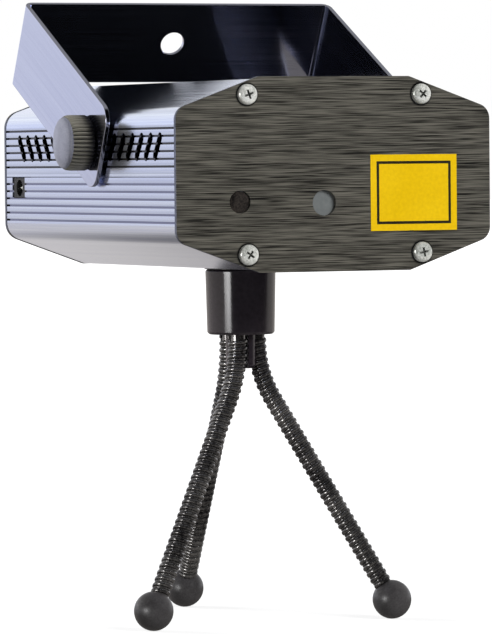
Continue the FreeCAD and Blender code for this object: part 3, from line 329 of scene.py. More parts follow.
# Polycarbonate film embossed with crossed lines: clear, with a faint grid. Real lines are a few micrometres
# apart; they are drawn 0.5 mm apart so that they show.
def embossed_film():
    material, tree, shader = new_material("polycarbonate_film_embossed", Roughness=0.1, IOR=1.58,
                                          Transmission_Weight=0.8)
    place = add_node(tree, "ShaderNodeTexCoord").outputs["Object"]
    across = add_node(tree, "ShaderNodeTexWave", {"Vector": place, "Scale": WAVE_STEP / GRATING_STEP},
                      bands_direction="X").outputs["Fac"]
    upright = add_node(tree, "ShaderNodeTexWave", {"Vector": place, "Scale": WAVE_STEP / GRATING_STEP},
                       bands_direction="Z").outputs["Fac"]
    grid = add_node(tree, "ShaderNodeMath", {0: across, 1: upright}, operation="MULTIPLY").outputs["Value"]
    film = add_node(tree, "ShaderNodeMix",
                    {MIX_FACTOR: grid, MIX_A: linear("C9D2DC"), MIX_B: linear("F4F7FA")},
                    data_type="RGBA").outputs[MIX_RESULT]
    ripple = add_node(tree, "ShaderNodeBump",
                      {"Height": grid, "Strength": 0.3, "Distance": 0.02 * MM}).outputs["Normal"]
    connect(tree, shader, "Base Color", film)
    connect(tree, shader, "Normal", ripple)
    return material


casing_silver = brushed_casing()
plate_black = hairline_plate()

# The plates' sheet at its cut edge, where the black layer is thin and the metal shows cool grey.
plate_edge = grained("black_anodised_aluminium_cut_edge", "4C505E", "777C90",
                     grain=0.6 * MM, rough=(0.30, 0.42), depth=0.01 * MM, Metallic=1.0)

# Silver anodised aluminium strip, brushed along the strip before bending: lines follow each arm and the bar.
bracket_silver = brushed_metal("anodised_aluminium_strip_brushed", "B8BACC", "CED0DE",
                               stroke=(60 * MM, 60 * MM, 0.35 * MM), rough=(0.08, 0.15), depth=0.005 * MM,
                               spread=0.26, turn=BRACKET_TILT, centre=PIVOT)[0]

# Nickel plated steel, cold headed: bright and a little milky, with an uneven mirror that glints.
nickel = grained("nickel_plated_steel_headed", "B2B6AE", "FFFFFA",
                 grain=0.5 * MM, rough=(0.12, 0.26), depth=0.16 * MM, Metallic=0.3)

# The same steel in the driver's recess, in painted shade: dull grey.
recess_shade = grained("nickel_plated_steel_recess_shade", "4A4C48", "A6A8A2",
                      grain=0.4 * MM, rough=(0.3, 0.45), depth=0.08 * MM, Metallic=0.3)

# Zinc plated steel, turned: greyer and duller than the nickel screws.
zinc = grained("zinc_plated_steel_turned", "8F9398", "BDC1C6",
               grain=0.6 * MM, rough=(0.28, 0.4), depth=0.01 * MM, Metallic=1.0)

# Brass, turned: warm yellow with a fine tool mark.
brass = grained("brass_turned", "A8803A", "D9B465",
                grain=0.5 * MM, rough=(0.2, 0.32), depth=0.008 * MM, Metallic=1.0)

# Aluminium, milled and left bare: pale and slightly mottled.
milled = grained("aluminium_milled", "9DA0A4", "C9CBCE",
                 grain=0.8 * MM, rough=(0.3, 0.45), depth=0.01 * MM, Metallic=1.0)

# Grey ABS, moulded in a spark eroded tool: satin with a fine grain, in a cool grey that is a painted tint of
# the pale light from the left.
knob_grey = grained("abs_grey_moulded_satin", "767888", "9A9CAC",
                    grain=0.35 * MM, rough=(0.42, 0.54), depth=0.03 * MM, IOR=1.53)

knob_ridge = shaded_ridges()

# The same plastic in the flutes between the ridges, in painted shade: dull and nearly black.
knob_flute_shade = grained("abs_grey_moulded_flute_shade", "100F0E", "1E1C19",
                     grain=0.35 * MM, rough=(0.5, 0.65), depth=0.02 * MM, IOR=1.53)

# Black ABS, moulded in a polished tool: deep black with clean highlights.
gloss_black = grained("abs_black_polished", "2E282E", "383238",
                      grain=1.2 * MM, rough=(0.09, 0.16), depth=0.004 * MM, IOR=1.53)

# Black ABS, moulded in an etched tool: charcoal with a fine matt grain.
matt_black = grained("abs_black_etched", "151517", "222224",
                     grain=0.4 * MM, rough=(0.45, 0.6), depth=0.02 * MM, IOR=1.53)

# Rubber, moulded: soft charcoal with a dusty bloom.
rubber = grained("rubber_moulded", "383637", "4E4C4D",
                 grain=0.45 * MM, rough=(0.32, 0.44), depth=0.03 * MM, IOR=1.52)

# Steel wire, wound and black oxide coated: dark with sharp glints where the coating is burnished.
wire_black = grained("steel_wire_black_oxide_wound", "3A383A", "9A9896",
                     grain=0.7 * MM, rough=(0.14, 0.24), depth=0.015 * MM, Metallic=0.85)

# Nylon, moulded and unpigmented: milky, waxy white.
nylon = grained("nylon_natural_moulded", "C4C2B6", "DAD8CC",
                grain=0.6 * MM, rough=(0.4, 0.5), depth=0.01 * MM, IOR=1.53)

# Polyester felt, pressed: black and fibrous with no shine.
felt = grained("polyester_felt_pressed", "060505", "3C3632",
               grain=0.42 * MM, rough=(0.85, 0.95), depth=0.16 * MM, IOR=1.5)

# Fibreglass laminate with solder mask: glossy green with paler copper under it.
laminate = grained("fibreglass_laminate_solder_mask", "0E3A22", "1C5E38",
                   grain=1.6 * MM, rough=(0.25, 0.4), depth=0.02 * MM, IOR=1.52)

# Epoxy moulded components: dull black bodies.
epoxy = grained("epoxy_moulded_components", "101012", "1E1E20",
                grain=0.5 * MM, rough=(0.5, 0.62), depth=0.02 * MM, IOR=1.55)

# Vinyl film, printed yellow and laminated: even, warm yellow with a slight satin gloss.
vinyl_yellow = grained("vinyl_film_printed_yellow", "E8BC00", "F4CA06",
                       grain=0.9 * MM, rough=(0.32, 0.4), depth=0.004 * MM, IOR=1.5)

# The same film printed black, for the border line.
vinyl_black = grained("vinyl_film_printed_black", "1B1A12", "2A281C",
                      grain=0.9 * MM, rough=(0.34, 0.42), depth=0.004 * MM, IOR=1.5)

window_glass = coated_glass()
grating_film = embossed_film()


# Modelling helpers

# Share of a face's normal along an axis past which the face counts as facing that way
FACING = 0.9
MERGE = 1e-6
SOLID_MERGE = 2e-6
FLAT_ANGLE = math.radians(0.2)
SOLID_SMOOTH = math.radians(30)
SHARP_ANGLE = math.radians(40)


def deselect():
    """Leave nothing selected, so that an operator acts only on what comes next."""
    bpy.ops.object.select_all(action="DESELECT")


def alone(piece):
    """Leave this piece selected and active in object mode, and nothing else."""
    deselect()
    piece.select_set(True)
    bpy.context.view_layer.objects.active = piece


def begin(name):
    """Name the primitive that was just added and open it for editing."""
    piece = bpy.context.active_object
    piece.name = name
    piece.data.name = name
    bpy.ops.object.transform_apply(location=True, rotation=True, scale=True)
    bpy.ops.object.mode_set(mode="EDIT")
    return piece


def pick(piece, kind, test):
    """Select the faces, edges or vertices that pass the test, in edit mode."""
    bpy.ops.mesh.select_mode(type=kind)
    bpy.ops.mesh.select_all(action="DESELECT")
    mesh = bmesh.from_edit_mesh(piece.data)
    items = {"FACE": mesh.faces, "EDGE": mesh.edges, "VERT": mesh.verts}[kind]
    for item in items:
        if test(item):
            item.select_set(True)
    mesh.select_flush_mode()
    bmesh.update_edit_mesh(piece.data)


def close(piece, angle=35):
    """Merge doubles, turn the faces outwards, leave edit mode and shade smooth below an angle in degrees."""
    bpy.ops.mesh.select_all(action="SELECT")
    bpy.ops.mesh.remove_doubles(threshold=MERGE)
    bpy.ops.mesh.normals_make_consistent(inside=False)
    bpy.ops.object.mode_set(mode="OBJECT")
    alone(piece)
    bpy.ops.object.shade_smooth_by_angle(angle=math.radians(angle))


def modify(piece, kind, **settings):
    """Add a modifier, set it and apply it."""
    alone(piece)
    modifier = piece.modifiers.new(kind, kind)
    for name, value in settings.items():
        setattr(modifier, name, value)
    bpy.ops.object.modifier_apply(modifier=modifier.name)


def copied(piece, name):
    """A copy with its own mesh."""
    twin = piece.copy()
    twin.data = piece.data.copy()
    twin.name = name
    twin.data.name = name
    bpy.context.scene.collection.objects.link(twin)
    return twin


def joined(first, *others):
    """The first piece with the others joined to it."""
    alone(first)
    for piece in others:
        piece.select_set(True)
    bpy.ops.object.join()
    return first


def remove(piece):
    bpy.data.objects.remove(piece)


def paint(piece, *materials):
    piece.data.materials.clear()
    for material in materials:
        piece.data.materials.append(material)


def softened(node, width):
    """A copy of a solid with its flat faces made whole and its sharp edges broken."""
    piece = copied(frame["nodes"][node], node + "_finished")
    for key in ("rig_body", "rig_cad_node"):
        del piece[key]
    piece.parent = None
    alone(piece)
    bpy.ops.mesh.customdata_custom_splitnormals_clear()
    bpy.ops.object.mode_set(mode="EDIT")
    bpy.ops.mesh.select_all(action="SELECT")
    bpy.ops.mesh.remove_doubles(threshold=SOLID_MERGE)
    bpy.ops.mesh.dissolve_limited(angle_limit=FLAT_ANGLE)
    bpy.ops.object.mode_set(mode="OBJECT")
    alone(piece)
    bpy.ops.object.shade_smooth_by_angle(angle=SOLID_SMOOTH)
    modify(piece, "BEVEL", width=width, segments=2, limit_method="ANGLE", angle_limit=SHARP_ANGLE,
           harden_normals=True, use_clamp_overlap=True)
    return piece


def pulled_disc(name, sides, steps):
    """A disc extruded up through (radius, height) steps in millimetres, open at its foot, in edit mode."""
    radius, height = steps[0]
    deselect()
    bpy.ops.mesh.primitive_circle_add(vertices=sides, radius=radius * MM, fill_type="NGON",
                                      location=(0, 0, height * MM))
    piece = begin(name)
    bpy.ops.mesh.select_all(action="SELECT")
    for step_r, step_z in steps[1:]:
        rise = (step_z - height) * MM
        bpy.ops.mesh.extrude_region_move(TRANSFORM_OT_translate={"value": (0, 0, rise)})
        bpy.ops.transform.resize(value=(step_r / radius, step_r / radius, 1.0), center_override=(0, 0, 0))
        radius, height = step_r, step_z
    return piece


def close_foot(piece):
    """Fill the open ring at the foot of a pulled disc."""
    pick(piece, "EDGE", lambda edge: edge.is_boundary)
    bpy.ops.mesh.edge_face_add()


def stand_in(piece, body, slot, *nodes):
    """The piece rides on its body and stands for these solids."""
    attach(piece, body)
    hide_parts(*nodes)


# Goosenecks: a wire wound round a core, modelled straight and then bent along each leg

# Headings of the legs, and how far their roots are turned on from them, in degrees
LEG_HEADINGS = {"front": -152.8, "right": -32.8, "rear": 87.2}
LEG_ROOT_TWIST = 27.0
HUB_BOTTOM_Z = 79.4 * MM
LEG_ROOT_R = 4.6 * MM
LEG_SPLAY = math.radians(30.5)
LEG_BEND_R = 31.6 * MM
LEG_DROP = 2.0 * MM
LEG_SOCKET = 7.0 * MM
LEG_CREST_R = 2.75 * MM
LEG_CORE_R = 2.2 * MM
LEG_TURNS = 40
FOOT_R = 5.4 * MM
FOOT_SOCKET = 4.4 * MM
FOOT_GAP = 0.4 * MM
BEND_LEN = LEG_BEND_R * LEG_SPLAY
RUN_LEN = (HUB_BOTTOM_Z - LEG_DROP - LEG_BEND_R * math.sin(LEG_SPLAY) - FOOT_R) / math.cos(LEG_SPLAY)
LEG_LEN = LEG_DROP + BEND_LEN + RUN_LEN
TIP_LEN = LEG_LEN - FOOT_R + FOOT_SOCKET
WOUND_LEN = LEG_LEN - FOOT_R - FOOT_GAP
WIRE_PITCH = WOUND_LEN / LEG_TURNS
# The flattened wire's half width and the thin wire's radius, as shares of the pitch
WIRE_HALF = 0.32 * WIRE_PITCH
THIN_R = 0.185 * WIRE_PITCH
WIRE_RISE = 0.42 * MM
THIN_SINK = 0.30 * MM
BLEND_LEN = 16.0 * MM
WIRE_SIDES = 12
THIN_SIDES = 8
STEPS_A_TURN = 22
CORE_SIDES = 24
CORE_CUTS = 70
LINE_STEPS = 40


def leg_frame(heading):
    """Root point under the hub and outward direction of one leg."""
    angle = math.radians(heading)
    root_angle = math.radians(heading + LEG_ROOT_TWIST)
    root = Vector((LEG_ROOT_R * math.cos(root_angle), LEG_ROOT_R * math.sin(root_angle), HUB_BOTTOM_Z))
    return root, Vector((math.cos(angle), math.sin(angle), 0))


def leg_curve(heading):
    """Centre line of one leg: straight out of the socket, one bend, straight into the ball."""
    root, out = leg_frame(heading)
    down = Vector((0, 0, -1))
    slope = out * math.sin(LEG_SPLAY) + down * math.cos(LEG_SPLAY)
    bend_start = root + down * LEG_DROP
    bend_out = out * LEG_BEND_R * (1 - math.cos(LEG_SPLAY))
    bend_end = bend_start + bend_out + down * LEG_BEND_R * math.sin(LEG_SPLAY)
    # Handles this long make the curve follow the arc
    arc_handle = LEG_BEND_R * 4 / 3 * math.tan(LEG_SPLAY / 4)
    top = root - down * LEG_SOCKET
    tip = bend_end + slope * (TIP_LEN - LEG_DROP - BEND_LEN)
    lead = (LEG_SOCKET + LEG_DROP) / 3
    tail = (tip - bend_end).length / 3
    knots = [(top, down, lead, lead), (bend_start, down, lead, arc_handle),
             (bend_end, slope, arc_handle, tail), (tip, slope, tail, tail)]
    curve = bpy.data.curves.new("leg_line", "CURVE")
    curve.dimensions = "3D"
    curve.resolution_u = LINE_STEPS
    curve.twist_mode = "MINIMUM"
    spline = curve.splines.new("BEZIER")
    spline.bezier_points.add(len(knots) - 1)
    for point, (place, along, before, after) in zip(spline.bezier_points, knots):
        point.co = place
        point.handle_left_type = "FREE"
        point.handle_right_type = "FREE"
        point.handle_left = place - along * before
        point.handle_right = place + along * after
    line = bpy.data.objects.new("leg_line", curve)
    bpy.context.scene.collection.objects.link(line)
    return line


def straight_gooseneck():
    """A flattened wire and a thinner one beside it, wound over a core, upright from the socket's top."""
    deselect()
    bpy.ops.mesh.primitive_circle_add(vertices=WIRE_SIDES, radius=WIRE_HALF, rotation=(math.pi / 2, 0, 0))
    coil = begin("coil")
    bpy.ops.mesh.select_all(action="SELECT")
    bpy.ops.transform.resize(value=(WIRE_RISE / WIRE_HALF, 1.0, 1.0))
    bpy.ops.transform.translate(value=(LEG_CREST_R - WIRE_RISE, 0, 0))
    bpy.ops.mesh.select_all(action="DESELECT")
    bpy.ops.mesh.primitive_circle_add(vertices=THIN_SIDES, radius=THIN_R, rotation=(math.pi / 2, 0, 0),
                                      location=(LEG_CREST_R - THIN_SINK - THIN_R, 0, WIRE_PITCH / 2))
    bpy.ops.object.mode_set(mode="OBJECT")
    modify(coil, "SCREW", axis="Z", angle=2 * math.pi, screw_offset=WIRE_PITCH, iterations=LEG_TURNS,
           steps=STEPS_A_TURN, render_steps=STEPS_A_TURN)
    bpy.ops.object.mode_set(mode="EDIT")
    bpy.ops.mesh.select_all(action="SELECT")
    bpy.ops.transform.translate(value=(0, 0, LEG_SOCKET + WIRE_HALF))
    bpy.ops.mesh.fill_holes(sides=0)
    close(coil, angle=60)
    deselect()
    core_len = LEG_SOCKET + TIP_LEN
    bpy.ops.mesh.primitive_cylinder_add(vertices=CORE_SIDES, radius=LEG_CORE_R, depth=core_len,
                                        location=(0, 0, core_len / 2))
    core = begin("core")
    pick(core, "EDGE", lambda edge: abs(edge.verts[0].co.z - edge.verts[1].co.z) > core_len / 2)
    bpy.ops.mesh.subdivide(number_cuts=CORE_CUTS)
    close(core)
    return joined(coil, core)


def goosenecks():
    """Three legs, each a copy of the straight one bent along its own line."""
    straight = straight_gooseneck()
    for name, heading in LEG_HEADINGS.items():
        leg = copied(straight, "gooseneck_" + name)
        line = leg_curve(heading)
        modify(leg, "CURVE", object=line, deform_axis="POS_Z")
        remove(line)
        paint(leg, wire_black)
        root, out = leg_frame(heading)
        turn = (BLEND_LEN - LEG_DROP) / LEG_BEND_R
        end = root + out * LEG_BEND_R * (1 - math.cos(turn))
        end.z -= LEG_DROP + LEG_BEND_R * math.sin(turn)
        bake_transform(leg)
        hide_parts("leg_" + name)
    remove(straight)


# Pan head screws with a cross recess

HEAD_R = 2.75 * MM
HEAD_H = 1.6 * MM
SHANK_R = 1.35 * MM
HEAD_STEPS_MM = [(2.75, 0), (2.75, 0.55), (2.66, 0.9), (2.35, 1.22), (1.8, 1.45), (1.0, 1.58)]
HEAD_SIDES = 36
HEAD_SMOOTH = 40
RECESS_LEN = 3.9 * MM
RECESS_W = 0.85 * MM
RECESS_DEPTH = 1.1 * MM
RECESS_TAPER = 0.35
PLATE_SHANK = 11 * MM
FAN_SHANK = 7.5 * MM
FAN_X = -3 * MM
FAN_SCREW = 12 * MM
PLATE_SCREWS = [(x, MID_Z + z) for x in (-PLATE_SCREW_X, PLATE_SCREW_X)
                for z in (PLATE_SCREW_Z, -PLATE_SCREW_Z)]
FAN_SCREWS = [(FAN_X + x, MID_Z + z) for x in (-FAN_SCREW, FAN_SCREW) for z in (FAN_SCREW, -FAN_SCREW)]
# Degrees that each recess is turned by
FRONT_TURNS = (20, -35, 48, 12)
REAR_TURNS = (5, 40, -20, 65)
FAN_TURNS = (33, -12, 50, 8)


def cross_cutter():
    """Two tapered blades, crossed, that leave the driver's recess."""
    blades = []
    for index in range(2):
        deselect()
        bpy.ops.mesh.primitive_cube_add(size=1.0, location=(0, 0, HEAD_H),
                                        rotation=(0, 0, index * math.pi / 2),
                                        scale=(RECESS_LEN, RECESS_W, 2 * RECESS_DEPTH))
        blade = begin("blade")
        pick(blade, "FACE", lambda face: face.normal.z < -FACING)
        bpy.ops.transform.resize(value=(RECESS_TAPER, RECESS_TAPER, 1.0))
        close(blade)
        blades.append(blade)
    modify(blades[0], "BOOLEAN", object=blades[1], operation="UNION", solver="EXACT")
    remove(blades[1])
    # The recess takes the painted shade
    paint(blades[0], recess_shade)
    return blades[0]


def cross_screw(shank_len):
    """One screw, its head's seat at zero and its shank downwards."""
    screw = pulled_disc("screw", HEAD_SIDES, HEAD_STEPS_MM)
    close_foot(screw)
    bpy.ops.mesh.select_mode(type="FACE")
    bpy.ops.mesh.inset(thickness=HEAD_R - SHANK_R)
    bpy.ops.mesh.extrude_region_move(TRANSFORM_OT_translate={"value": (0, 0, -shank_len)})
    close(screw, angle=HEAD_SMOOTH)
    paint(screw, nickel)
    cutter = cross_cutter()
    modify(screw, "BOOLEAN", object=cutter, operation="DIFFERENCE", solver="EXACT", material_mode="TRANSFER")
    remove(cutter)
    bpy.ops.object.shade_smooth_by_angle(angle=math.radians(HEAD_SMOOTH))
    return screw


def screw_set(name, node, shank_len, places, face_y, outwards, turns):
    """Four copies of one screw, joined, with their recesses turned as they were driven home."""
    pattern = cross_screw(shank_len)
    lie = Matrix.Rotation(-outwards * math.pi / 2, 4, "X")
    copies = []
    for index, ((x, z), turn) in enumerate(zip(places, turns)):
        one = copied(pattern, f"{name}_{index}")
        one.data.transform(Matrix.Rotation(math.radians(turn), 4, "Z"))
        one.data.transform(lie)
        one.data.transform(Matrix.Translation((x, face_y, z)))
        copies.append(one)
    remove(pattern)
    screws = joined(*copies)
    screws.name = name
    stand_in(screws, "housing", "bright_screws", node)


# Thumb knobs: a ridged grip under a rounded cap

KNOB_RIDGES = 40
KNOB_BASE = 47.5 * MM
BOSS_R_MM = 4.5
GRIP_STEPS_MM = [(7.10, 0.3), (7.60, 0.8), (7.60, 5.0), (7.45, 6.1), (7.05, 6.7)]
CAP_STEPS_MM = [(7.02, 6.6), (6.95, 6.9), (6.70, 7.2), (6.20, 7.5), (5.20, 7.78), (3.80, 7.98), (2.00, 8.10),
                (0.60, 8.12)]
CAP_SIDES = 96
# A flute's radius as a share of the ridge's, and the part of each ridge's share of the round that it takes
FLUTE_SHARE = 0.915
FLUTE_FROM, FLUTE_TO = 0.38, 0.88
# A face of the grip whose normal leans along its axis by less than this is on its side
GRIP_SIDE = 0.8


def in_flute(place):
    """Whether a point on the knob, upright, is in a flute rather than on a ridge."""
    turn = math.atan2(place.y, place.x) / (2 * math.pi) * KNOB_RIDGES
    return FLUTE_FROM < turn % 1.0 < FLUTE_TO


def knob_grip():
    """Fluted grip on its boss, along +Z from the ear."""
    base_r, base_z = GRIP_STEPS_MM[0]
    grip = pulled_disc("grip", 4 * KNOB_RIDGES, GRIP_STEPS_MM)
    pick(grip, "VERT", lambda vert: in_flute(vert.co))
    bpy.ops.transform.resize(value=(FLUTE_SHARE, FLUTE_SHARE, 1.0), center_override=(0, 0, 0))
    close_foot(grip)
    bpy.ops.mesh.select_mode(type="FACE")
    bpy.ops.mesh.extrude_region_move(TRANSFORM_OT_translate={"value": (0, 0, 0)})
    bpy.ops.transform.resize(value=(BOSS_R_MM / base_r, BOSS_R_MM / base_r, 1.0), center_override=(0, 0, 0))
    bpy.ops.mesh.extrude_region_move(TRANSFORM_OT_translate={"value": (0, 0, -base_z * MM)})
    close(grip, angle=30)
    # The flutes take the painted shade
    paint(grip, knob_ridge, knob_flute_shade)
    for face in grip.data.polygons:
        if abs(face.normal.z) < GRIP_SIDE and in_flute(face.center):
            face.material_index = 1
    return grip


def knob_cap():
    """Rounded cap: a disc pulled up and drawn in, step by step."""
    cap = pulled_disc("cap", CAP_SIDES, CAP_STEPS_MM)
    close_foot(cap)
    close(cap, angle=50)
    paint(cap, knob_grey)
    return cap


def knobs():
    """One knob, copied to both sides; the left one is turned a little further than the right one."""
    pattern = joined(knob_grip(), knob_cap())
    for name, side, turn in (("left_knob", -1, 11.0), ("right_knob", 1, 3.0)):
        knob = copied(pattern, name + "_finished")
        lie = Matrix.Rotation(side * math.pi / 2, 4, "Y") @ Matrix.Rotation(math.radians(turn), 4, "Z")
        knob.data.transform(Matrix.Translation((side * KNOB_BASE, PIVOT[1], PIVOT[2])) @ lie)
        stand_in(knob, name, "knob_plastic", name)
    remove(pattern)


# Blank sticker with a border line

STICKER_X = (10.4 * MM, 36.0 * MM)
STICKER_Z = (MID_Z - 15.4 * MM, MID_Z + 5.0 * MM)
STICKER_T = 0.12 * MM
STICKER_MARGIN = 1.77 * MM
STICKER_LINE = 0.75 * MM


def sticker(face_y):
    """A film stuck on the plate: a border line printed inside its edge and a plain middle."""
    width = STICKER_X[1] - STICKER_X[0]
    height = STICKER_Z[1] - STICKER_Z[0]
    middle = Vector((sum(STICKER_X) / 2, face_y - STICKER_T / 2, sum(STICKER_Z) / 2))
    deselect()
    bpy.ops.mesh.primitive_cube_add(size=1.0, scale=(width, STICKER_T, height), location=middle)
    film = begin("sticker")
    pick(film, "FACE", lambda face: face.normal.y < -FACING)
    bpy.ops.mesh.inset(thickness=STICKER_MARGIN)
    bpy.ops.mesh.inset(thickness=STICKER_LINE)
    close(film)
    paint(film, vinyl_yellow, vinyl_black)
    for face in film.data.polygons:
        away = face.center - middle
        from_edge = min(width / 2 - abs(away.x), height / 2 - abs(away.z))
        if face.normal.y < -FACING and STICKER_MARGIN < from_edge < STICKER_MARGIN + STICKER_LINE:
            face.material_index = 1
    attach(film, "housing")


# End plates and other solids whose edges are broken

# Just inside the eight-sided outline: its sides, its top and bottom, and a point of its slopes with their
# fall and run
OUTLINE_X = 44.5 * MM
OUTLINE_Z = 24.9 * MM
SLOPE_X, SLOPE_Z = 45 * MM, 16.95 * MM
SLOPE_FALL, SLOPE_RUN = 8.45, 23.55
# A face of a plate whose normal leans forwards or backwards by less than this is on its edge
PLATE_EDGE = 0.85
# How wide each solid's sharp edges are broken
EDGE_BREAK = {"front_plate": 0.25 * MM, "rear_plate": 0.2 * MM, "bracket": 0.2 * MM,
              "tripod_hub": 0.25 * MM, "dc_jack": 0.15 * MM}


def on_outline(place):
    """Whether a point of an end plate lies on its outline rather than in one of its holes."""
    x, z = abs(place.x), abs(place.z - MID_Z)
    past_slope = SLOPE_FALL * (x - SLOPE_X) + SLOPE_RUN * (z - SLOPE_Z)
    return x > OUTLINE_X or z > OUTLINE_Z or past_slope > 0


def end_plate(node):
    """An end plate with its cut edge in grey."""
    plate = softened(node, EDGE_BREAK[node])
    paint(plate, plate_black, plate_edge)
    for face in plate.data.polygons:
        if abs(face.normal.y) < PLATE_EDGE and on_outline(face.center):
            face.material_index = 1
    stand_in(plate, "housing", "black_plate", node)


def edged(node, finish, body, slot):
    """A solid with its edges broken, in one finish."""
    piece = softened(node, EDGE_BREAK[node])
    paint(piece, finish)
    stand_in(piece, body, slot, node)


# Build the pieces

goosenecks()
front_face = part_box("front_plate")[0].y
rear_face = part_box("rear_plate")[1].y
screw_set("front_screws_finished", "front_screws", PLATE_SHANK, PLATE_SCREWS, front_face, -1, FRONT_TURNS)
screw_set("rear_screws_finished", "rear_screws", PLATE_SHANK, PLATE_SCREWS, rear_face, 1, REAR_TURNS)
screw_set("fan_screws_finished", "fan_screws", FAN_SHANK, FAN_SCREWS, rear_face, 1, FAN_TURNS)
knobs()
sticker(front_face)
end_plate("front_plate")
end_plate("rear_plate")
edged("bracket", bracket_silver, "bracket", "bracket_sheet")
edged("tripod_hub", gloss_black, "tripod", "gloss_black")
edged("dc_jack", matt_black, "housing", "black_plastic")

# Solids whose shape is right keep it and get their finish
NODE_FINISH = {
    "upper_shell": casing_silver, "lower_shell": casing_silver,
    "beam_window": window_glass, "mic_capsule": zinc, "mic_felt": felt,
    "dc_jack_pin": nickel,
    "friction_washers": nylon, "pivot_nuts": zinc,
    "left_knob_stud": zinc, "right_knob_stud": zinc,
    "laser_mount": milled, "green_laser_module": brass, "red_laser_module": brass,
    "beam_combiner": window_glass, "grating_wheel": nylon, "grating_disc": grating_film,
    "grating_motor": zinc, "motor_shaft": zinc, "drive_roller": rubber,
    "control_board": laminate, "board_spacers": nylon, "board_parts": epoxy,
    "fan_frame": matt_black, "fan_impeller": matt_black,
    "mode_switch": matt_black, "switch_slider": matt_black, "speed_pot": matt_black, "speed_dial": nylon,
    "tripod_stud": zinc, "tripod_pad": rubber, "tripod_insert": brass,
    "foot_front": rubber, "foot_right": rubber, "foot_rear": rubber,
}
for node, finish in NODE_FINISH.items():
    paint(frame["nodes"][node], finish)


# Floor, light and camera

FLOOR_SIZE = 12.0
FLOOR_FRONT = -0.4
# The camera sees the paper take its shade near the feet and glow further out: between which distances, with
# how large a share of glow at the near one, and how strong
GLOW_REACH = (0.12, 0.6)
GLOW_NEAR = 0.6
GLOW_LEVEL = 1.3
# Painted shade as metal sees the paper: dark near the object and paler further out: between which distances,
# and how bright at each
MIRROR_REACH = (0.16, 0.45)
MIRROR_LEVEL = (0.2, 0.68)

# Direction, distance, size across and up, watts, and whether a lamp glints or shades: a strip at the left for
# the round pieces, the main light before the object and one behind it
SOFTBOXES = [
    ((-0.926, -0.376, 0.03), 1.30, (0.50, 0.34), 7.0, True),
    ((0.38, -0.83, 0.41), 1.50, (0.80, 0.60), 21.0, False),
    ((-0.62, 0.74, 0.26), 1.20, (0.60, 0.60), 18.0, False),
]
AIM = Vector((0, 0, 0.11))

# The room by direction: where the paper ends under the ceiling, which is lower behind, and how grey that is;
# where the paper ends towards the front, where it goes on below, and where it turns cooler
CEILING_LEAN = -0.2
CEILING_EDGE = (0.17, 0.30)
CEILING_LEVEL = 0.3
FRONT_EDGE = (-0.30, -0.05)
LOWER_EDGE = (-0.12, -0.25)
COOL_EDGE = (-0.2, 0.1)
DARK_ROOM = (0.003, 0.003, 0.003, 1.0)
ROOM_FILL = (0.12, 0.12, 0.12, 1.0)


def lay_floor():
    """White paper from just before the object backwards, so far that its end can't be seen."""
    deselect()
    bpy.ops.mesh.primitive_plane_add(size=FLOOR_SIZE, location=(0, FLOOR_FRONT + FLOOR_SIZE / 2, 0))
    bpy.ops.object.transform_apply(location=True)
    floor = bpy.context.active_object
    floor.name = "floor"
    material = bpy.data.materials.new("paper_white_matt")
    material.use_nodes = True
    tree = material.node_tree
    tree.nodes.clear()
    place = add_node(tree, "ShaderNodeTexCoord").outputs["Object"]
    reach = add_node(tree, "ShaderNodeVectorMath", {0: place}, operation="LENGTH").outputs["Value"]
    path = add_node(tree, "ShaderNodeLightPath")
    to_camera = path.outputs["Is Camera Ray"]
    glow_share = add_node(tree, "ShaderNodeMapRange",
                          {"Value": reach, "From Min": GLOW_REACH[0], "From Max": GLOW_REACH[1],
                           "To Min": GLOW_NEAR, "To Max": 1.0},
                          interpolation_type="SMOOTHSTEP").outputs["Result"]
    shiny = add_node(tree, "ShaderNodeMath",
                     {0: path.outputs["Is Glossy Ray"], 1: path.outputs["Is Transmission Ray"]},
                     operation="ADD").outputs["Value"]
    seen = add_node(tree, "ShaderNodeMath", {0: shiny, 1: to_camera}, operation="ADD",
                    use_clamp=True).outputs["Value"]
    own_light = add_node(tree, "ShaderNodeMix",
                         {MIX_FACTOR: to_camera, VALUE_A: 1.0, VALUE_B: glow_share}).outputs[VALUE_RESULT]
    share = add_node(tree, "ShaderNodeMath", {0: seen, 1: own_light}, operation="MULTIPLY").outputs["Value"]
    # Painted shade: what metal sees of the paper is darker near the object
    mirrored = add_node(tree, "ShaderNodeMapRange",
                        {"Value": reach, "From Min": MIRROR_REACH[0], "From Max": MIRROR_REACH[1],
                         "To Min": MIRROR_LEVEL[0], "To Max": MIRROR_LEVEL[1]},
                        interpolation_type="SMOOTHSTEP").outputs["Result"]
    level = add_node(tree, "ShaderNodeMix",
                     {MIX_FACTOR: to_camera, VALUE_A: mirrored, VALUE_B: GLOW_LEVEL}).outputs[VALUE_RESULT]
    glow_tone = add_node(tree, "ShaderNodeMix",
                         {MIX_FACTOR: to_camera, MIX_A: linear("FDF6F0"), MIX_B: linear("FFFFFF")},
                         data_type="RGBA").outputs[MIX_RESULT]
    paper_tone = add_node(tree, "ShaderNodeMix",
                          {MIX_FACTOR: path.outputs["Is Diffuse Ray"], MIX_A: linear("F4F4F4"),
                           MIX_B: linear("B0B0B0")}, data_type="RGBA").outputs[MIX_RESULT]
    paper = add_node(tree, "ShaderNodeBsdfDiffuse", {"Color": paper_tone})
    glow = add_node(tree, "ShaderNodeEmission", {"Color": glow_tone, "Strength": level})
    mixed = add_node(tree, "ShaderNodeMixShader",
                     {0: share, 1: paper.outputs["BSDF"], 2: glow.outputs["Emission"]})
    add_node(tree, "ShaderNodeOutputMaterial", {"Surface": mixed.outputs["Shader"]})
    floor.data.materials.append(material)


